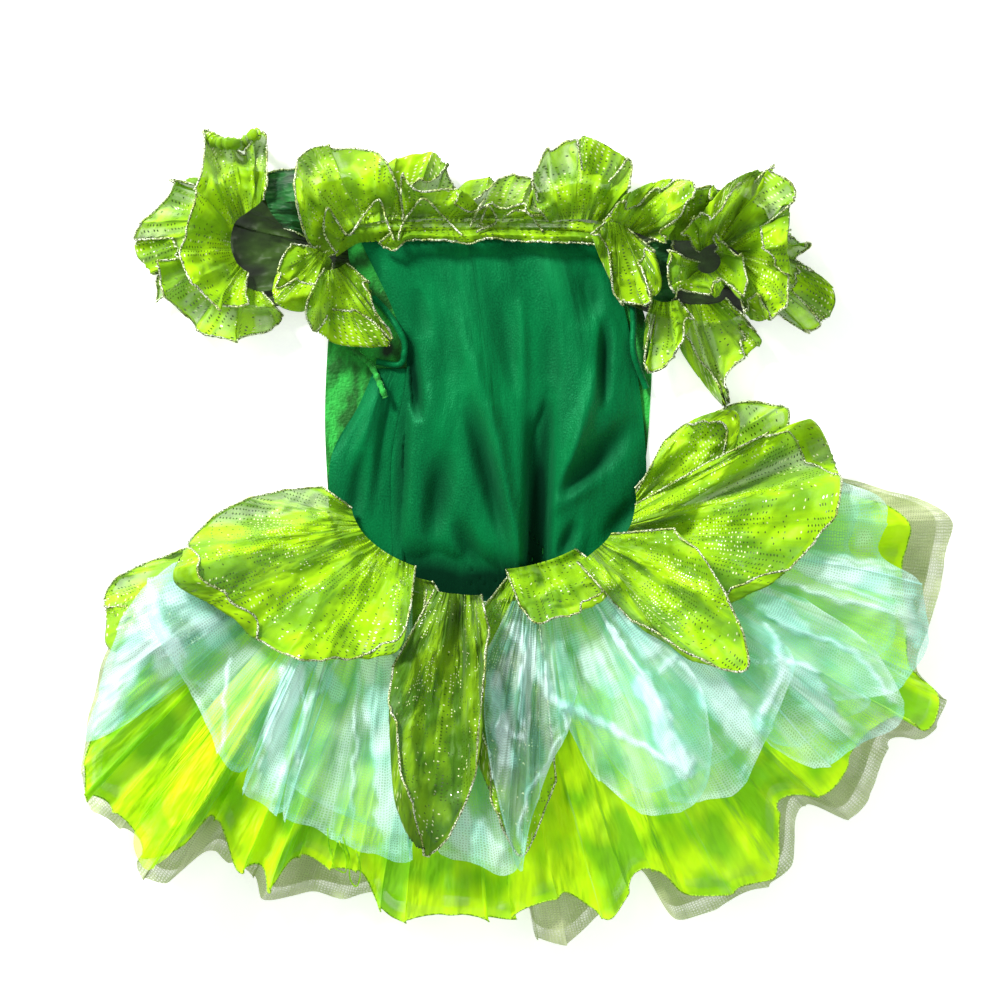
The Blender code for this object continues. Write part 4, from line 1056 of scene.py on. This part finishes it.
def waist_layer(start_angle, end_angle, outward, hems, grid, belly):
    """A petal, or a gathered half of the skirt, from the waist seam to the hem in the table."""
    rows = eased_rows(hems, grid.per_row)
    seam = waist_point(np.linspace(start_angle, end_angle, len(rows)), outward)
    hem = np.stack(on_grid(rows[:, 0], rows[:, 1]), axis=-1)
    return swept(seam, hem, np.maximum(rows[:, 2], 0), belly, grid.steps)


# How finely a kind of sheet is made: its rows for each row of its table, its steps from seam to
# hem, and how many times the pile under it is smoothed before it is laid
Grid = namedtuple("Grid", "per_row steps easing")

SKIRT_GRID, LOBE_GRID, FRILL_GRID, PANEL_GRID = (
    Grid(14, 64, 70), Grid(16, 56, 90), Grid(14, 44, 60), Grid(10, 50, 200),
)
BINDING_ROWS, BINDING_EASING = 12, 40  # the same for the bindings and the small trims
TRIM_ROWS, TRIM_EASING = 10, 10
LOBE_BELLY = 5  # mm by which the middle of a sheet stands over its seam and hem
FRILL_BELLY = 4

# The gathers of each kind of sheet, without their key
PETAL_GATHERS = (44, 2.5, 1.5, 1.5, 2, 0.12, 6, 0.8)
TULLE_GATHERS = (46, 4.5, 5, 1.5, 2.5, 0.3, 4, 0.6)
FRILL_GATHERS = (32, 8, 5, 2, 2.5, 0.25, 5, 0.9)
NECK_GATHERS = (36, 6, 4, 2, 2.5, 0.2, 4, 0.9)
CASING_GATHERS = (9, 2, 1.5, 0.5, 2, 0.3, 1, 0.5)
BAND_GATHERS = (7, 3.5, 1.5, 1, 2, 0.3, 1, 1)
PETAL_TURN = (0.12, 170)  # the share of the drop that turns back, and once every how many mm
FRILL_TURN = (0.32, 85)

# How much denser each cloth is along its doubled hem
HEM_DENSITY = {"net": 0.35, "organza": 0.5, "aqua_tulle": 0.3, "glitter_organza": 0.6}
ROLL_TIP = -0.8  # the tip of the rolled organza is one sheer layer
EDGE_RADIUS = 0.75 * MM  # of a metallic rolled edge
STITCH_RADIUS = 0.5 * MM  # of the stitches along the organza's hem
EDGE_ROUGHNESS, BINDING_ROUGHNESS, TRIM_ROUGHNESS = 0.35, 0.06, 0.3
PUFFED = 6  # mm over the bodice, from which a petal's seam stands up in a lip
LIP = 5 * MM
LIP_SHARE = 0.1  # of the petal's drop
PRESSED_SHARE = 0.5  # of its height, for a hidden layer that is pressed flat

# The ends of the names of frills whose free edge isn't turned back
UNTURNED = ("casing", "cap", "band", "lower", "left_ruffle_front", "flap_left")

# The routes of the small trims over the pile
TAB = [(350, 344), (361, 356), (371, 366), (379, 382), (385, 397)]
THREAD_LOOPS = (
    [(329, 826), (330, 846), (336, 866), (345, 872), (347, 858), (340, 838)],
    [(344, 834), (350, 856), (350, 878), (357, 886), (361, 868), (357, 846)],
)
SLEEVE_CURL = [(209, 136), (216, 142), (228, 144), (240, 143), (251, 136), (259, 134)]
FOLDED_EDGES = (
    [
        (335, 252), (324, 232), (328, 209), (337, 221), (349, 235), (364, 214), (379, 200),
        (387, 222), (394, 240),
    ],
    [(398, 240), (402, 225), (412, 210), (424, 199), (442, 215), (462, 235)],
    [(470, 226), (477, 212), (485, 198)],
    [(476, 232), (496, 221), (488, 207), (479, 226)],
    [(507, 215), (518, 210), (530, 215), (543, 231)],
)
TAB_RADIUS, LOOP_RADIUS, CURL_RADIUS, FOLDED_RADIUS = 2.0, 0.5, 4.2, 0.8  # mm

# The pieces that aren't in the cloth of their slot: most of them lie deep in the folds, and the petals
# and sleeve caps there are given darker copies of their cloth as painted shade
OWN_CLOTH = {
    "organza_roll": "organza_roll", "tulle_under": "under_tulle",
    "petal_centre": "centre_petal", "petal_left_back": "centre_petal",
    "sleeve_left_cap": "inner_sleeve", "sleeve_right_cap": "inner_sleeve",
    "sleeve_left_band": "band", "sleeve_right_band": "band",
}


class Dress:
    """Lays the sheets one after another, as they lie on the floor."""

    def __init__(self):
        self.pile = Pile()
        self.thread, self.stitches = metallic_thread(), hem_thread()
        self.cloths = {slot: sheer_cloth(slot, sheer) for slot, sheer in SHEERS.items()}
        self.cloths |= {name: sheer_cloth(name, sheer) for name, sheer in OTHER_CLOTHS.items()}
        self.cloths["velvet"] = velvet_cloth()
        self.cloths["satin"] = satin_cloth()

    def put(
        self, name, surface, slot, thickness, held, easing,
        gathers=None, creases=(), edge=0.0, turn=None,
    ):
        """Shapes a sheet, lays it on the pile and puts it in place of its solid."""
        if turn:
            surface = turned(surface, *turn, gathers.key)
        if gathers:
            surface = gathered(surface, gathers)
        surface = self.pile.draped(surface, easing)
        shade = np.zeros(surface.shape[:2])
        if slot == "aqua_tulle":
            surface, shade = banded(surface)
        if slot in SHEERS:
            shade[:, -2:] = HEM_DENSITY[slot]
        if name == "organza_roll":
            shade[:, -len(shade[0]) // 8:] = ROLL_TIP
        if creases:
            pressed, shade = creased(surface, creases)
            lowest = self.pile.clearance()[self.pile.cells(surface)]
            surface[..., 2] = np.maximum(pressed[..., 2], lowest)
        surface[..., 2] = np.maximum(surface[..., 2], 0) + thickness / 2
        obj = add_sheet("cloth_" + name, surface, self.cloths[OWN_CLOTH.get(name, slot)], shade)
        trims = [self.edge(name, surface, edge)] if edge else []
        declare(obj, surface, trims)
        upper = surface.copy()
        upper[..., 2] += thickness / 2
        self.pile.lay(upper)

    def edge(self, name, surface, radius):
        """The rolled or stitched edge along a sheet's hem and its two ends."""
        hem = np.concatenate([surface[0, :-1], surface[:, -1], surface[-1, -2::-1]])
        thread = self.stitches if name.startswith("organza") else self.thread
        return add_tube(
            "edge_" + name, hem, radius, thread, roughness=EDGE_ROUGHNESS, key=len(name),
        )

    def skirt(self, name, hems, slot, thickness, belly, gathers, shrink=1.0):
        """A gathered half of the skirt; one that is shrunk lies hidden and is pressed flat."""
        rows = np.array(hems, float)
        rows[:, :2] = WAIST_CENTRE + (rows[:, :2] - WAIST_CENTRE) * shrink
        if shrink < 1:
            rows[:, 2] *= PRESSED_SHARE
        surface = waist_layer(WAIST_LEFT, WAIST_RIGHT, SEAM_GAP, rows, SKIRT_GRID, belly)
        edge = STITCH_RADIUS if name == "organza_back" else 0
        self.put(name, surface, slot, thickness, "gathered", SKIRT_GRID.easing, gathers, edge=edge)

    def lobe(self, name, lobe, key):
        """A petal, a stretch of the upper tulle, or the organza's roll."""
        thickness, slot = lobe_cloth(name)
        outward = SEAM_GAP - lobe.puff * MM
        angles = (lobe.start_angle, lobe.end_angle)
        surface = waist_layer(*angles, outward, lobe.hem, LOBE_GRID, LOBE_BELLY)
        petal = name.startswith("petal")
        gathers = Gathers(*(PETAL_GATHERS if petal else TULLE_GATHERS), key)
        if lobe.puff > PUFFED:
            v = np.linspace(0, 1, surface.shape[1])
            surface[..., 2] += LIP * np.exp(-(v / LIP_SHARE) ** 2)
        trim = {"edge": EDGE_RADIUS, "turn": PETAL_TURN} if petal else {}
        self.put(name, surface, slot, thickness, "laid", LOBE_GRID.easing, gathers, **trim)

    def frill(self, name, folds, gathers):
        """A frill, a flap, or a cap or band of a sleeve."""
        rows = eased_rows(folds, FRILL_GRID.per_row)
        seam = np.stack(on_grid(rows[:, 0], rows[:, 1]), axis=-1)
        hem = np.stack(on_grid(rows[:, 2], rows[:, 3]), axis=-1)
        surface = swept(seam, hem, np.maximum(rows[:, 4], 0), FRILL_BELLY, FRILL_GRID.steps)
        slot = "satin" if name.endswith("band") else "glitter_organza"
        edge = 0 if name.endswith(("casing", "cap")) else EDGE_RADIUS
        turn = None if name.endswith(UNTURNED) else FRILL_TURN
        easing = FRILL_GRID.easing
        self.put(name, surface, slot, ORGANZA, "gathered", easing, gathers, edge=edge, turn=turn)

    def panel(self, name, lengths, levels, slot, thickness, creases):
        surface = bodice_panel(lengths, levels, PANEL_GRID.per_row, PANEL_GRID.steps)
        self.put(name, surface, slot, thickness, "laid", PANEL_GRID.easing, None, creases)

    def binding(self, name, route):
        """The rolled binding of an armhole."""
        places = eased_rows(route, BINDING_ROWS)
        line = np.stack([*on_grid(places[:, 0], places[:, 1]), places[:, 2] * MM], axis=-1)
        line = self.pile.draped(line[:, None], BINDING_EASING)[:, 0]
        line[:, 2] += BINDING_RADIUS
        satin = self.cloths["satin"]
        obj = add_tube("cloth_" + name, line, BINDING_RADIUS, satin, 12, BINDING_ROUGHNESS)
        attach(obj, "root")
        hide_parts(name)
        upper_side = np.array([[-1, 0, 0.5], [0, 0, 1], [1, 0, 0.5]]) * BINDING_RADIUS
        self.pile.lay(line[:, None] + upper_side)

    def trim(self, name, route, radius, slot):
        """A rolled strip or thread that lies on the pile along a route."""
        places = eased_rows(route, TRIM_ROWS)
        line = np.stack([*on_grid(places[:, 0], places[:, 1]), 0 * places[:, 0]], axis=-1)
        line = self.pile.draped(line[:, None], TRIM_EASING)[:, 0]
        line[:, 2] += radius * MM
        material = self.cloths.get(slot, self.thread)
        obj = add_tube("trim_" + name, line, radius * MM, material, roughness=TRIM_ROUGHNESS)
        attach(obj, "root")


def build_bodice_and_skirt(dress):
    """The layers from the floor up to the back half of the skirt."""
    dress.panel("bodice_front", FRONT_LENGTHS, FRONT_LEVELS, "velvet", VELVET, FRONT_CREASES)
    hidden_net = Gathers(30, 2, 1, 0, 1, 0.2, 2, 0, 1)
    dress.skirt("net_front", NET_HEM, "net", TULLE, 0, hidden_net, 0.97)
    hidden_organza = Gathers(30, 2, 1, 0, 1, 0.2, 2, 0, 2)
    dress.skirt("organza_front", ORGANZA_HEM, "organza", ORGANZA, 0, hidden_organza, 0.96)
    dress.frill("neck_front_frill", NECK_FRONT_FRILL, Gathers(18, 5, 4, 2, 2, 0.3, 2, 1, 3))
    dress.panel("bodice_side", SIDE_LENGTHS, SIDE_LEVELS, "satin", SATIN, SIDE_CREASES)
    dress.panel("bodice_back", BACK_LENGTHS, BACK_LEVELS, "satin", SATIN, BACK_CREASES)
    dress.binding("armhole_binding_left", LEFT_BINDING)
    dress.binding("armhole_binding_right", RIGHT_BINDING)
    dress.trim("armhole_tab", TAB, TAB_RADIUS, "velvet")
    net = Gathers(28, 4, 4, 1.5, 2, 0.3, 3, 0.4, 4)
    dress.skirt("net_back", NET_HEM, "net", TULLE, 2, net)
    organza = Gathers(34, 9, 6, 2, 2, 0.3, 3, 0.5, 5)
    dress.skirt("organza_back", ORGANZA_HEM, "organza", ORGANZA, 4, organza)
    tulle = Gathers(26, 4, 5, 1, 2, 0.3, 3, 0, 7)
    dress.skirt("tulle_under", AQUA_HEM, "aqua_tulle", TULLE, 0, tulle, 0.93)


def build_dress():
    dress = Dress()
    build_bodice_and_skirt(dress)
    for k, (name, lobe) in enumerate(LOBES.items()):
        dress.lobe(name, lobe, 10 + k)
    for table in (LEFT_SLEEVE, RIGHT_SLEEVE):
        for k, (name, folds) in enumerate(table.items()):
            gathers = BAND_GATHERS if name.endswith("band") else FRILL_GATHERS
            dress.frill(name, folds, Gathers(*gathers, 40 + k))
    for k, (name, folds) in enumerate(FRILLS.items()):
        gathers = CASING_GATHERS if name in NEAR_FLAT else NECK_GATHERS
        dress.frill(name, folds, Gathers(*gathers, 60 + k))
    for k, loop in enumerate(THREAD_LOOPS):
        dress.trim("thread_loop_" + str(k + 1), loop, LOOP_RADIUS, "organza")
    dress.trim("sleeve_curl", SLEEVE_CURL, CURL_RADIUS, "glitter_organza")
    for k, fold in enumerate(FOLDED_EDGES):
        dress.trim("folded_edge_" + str(k + 1), fold, FOLDED_RADIUS, "thread")


FLOOR_HALF = 6.0
FLOOR_DROP = 0.2 * MM  # under the dress, so that the two don't touch


def add_floor():
    corners = np.array([[-1, -1, 0], [1, -1, 0], [1, 1, 0], [-1, 1, 0]]) * FLOOR_HALF
    corners[:, 2] = -FLOOR_DROP
    floor = add_mesh("floor", corners, np.array([[0, 1, 2, 3]]), corners[:, :2], floor_paint())


# The lamps: name, place, size, power and colour. The key light stands behind the neck at the
# left, the fill light beside the skirt at the right
LAMPS = (
    ("key", (-1.4, 1.7, 1.4), 0.5, 105, (1.0, 0.98, 0.94)),
    ("fill", (1.6, -0.8, 2.2), 1.6, 10, (0.94, 0.98, 1.0)),
)
SKY_COLOUR, SKY_STRENGTH = (0.95, 0.98, 1.0, 1), 0.42


def add_light(name, place, size, power, colour):
    lamp = bpy.data.lights.new(name, "AREA")
    lamp.energy, lamp.size, lamp.color = power, size, colour
    obj = bpy.data.objects.new(name, lamp)
    obj.location = place
    aim = -np.array(place)
    obj.rotation_mode = "QUATERNION"
    obj.rotation_quaternion = mathutils.Vector(aim).to_track_quat("-Z", "Y")
    bpy.context.scene.collection.objects.link(obj)


LENS, SENSOR = 200.0, 36.0
PICTURE_STEPS = 1000  # of the plan across the picture
PICTURE_HEIGHT = 20 * MM  # above the floor, where the picture is that wide


def add_camera():
    """Straight above the dress, far off, with the whole picture 0.68 m across."""
    camera = bpy.data.cameras.new("camera")
    camera.lens, camera.sensor_width = LENS, SENSOR
    camera.clip_end = 50
    obj = bpy.data.objects.new("camera", camera)
    x, y = on_grid(PICTURE_STEPS / 2, PICTURE_STEPS / 2)
    obj.location = (x, y, PICTURE_HEIGHT + PICTURE_STEPS * STEP * LENS / SENSOR)
    bpy.context.scene.collection.objects.link(obj)
    bpy.context.scene.camera = obj


def light_the_room():
    world = bpy.data.worlds.new("soft_room")
    world.use_nodes = True
    shade = world.node_tree.nodes["Background"]
    shade.inputs["Color"].default_value = SKY_COLOUR
    shade.inputs["Strength"].default_value = SKY_STRENGTH
    bpy.context.scene.world = world
    for lamp in LAMPS:
        add_light(*lamp)
    scene = bpy.context.scene
    scene.view_settings.view_transform = "Standard"
    scene.cycles.transparent_max_bounces = 16
    scene.cycles.max_bounces = 3
    scene.cycles.diffuse_bounces = 2


build_dress()
add_floor()
light_the_room()
add_camera()
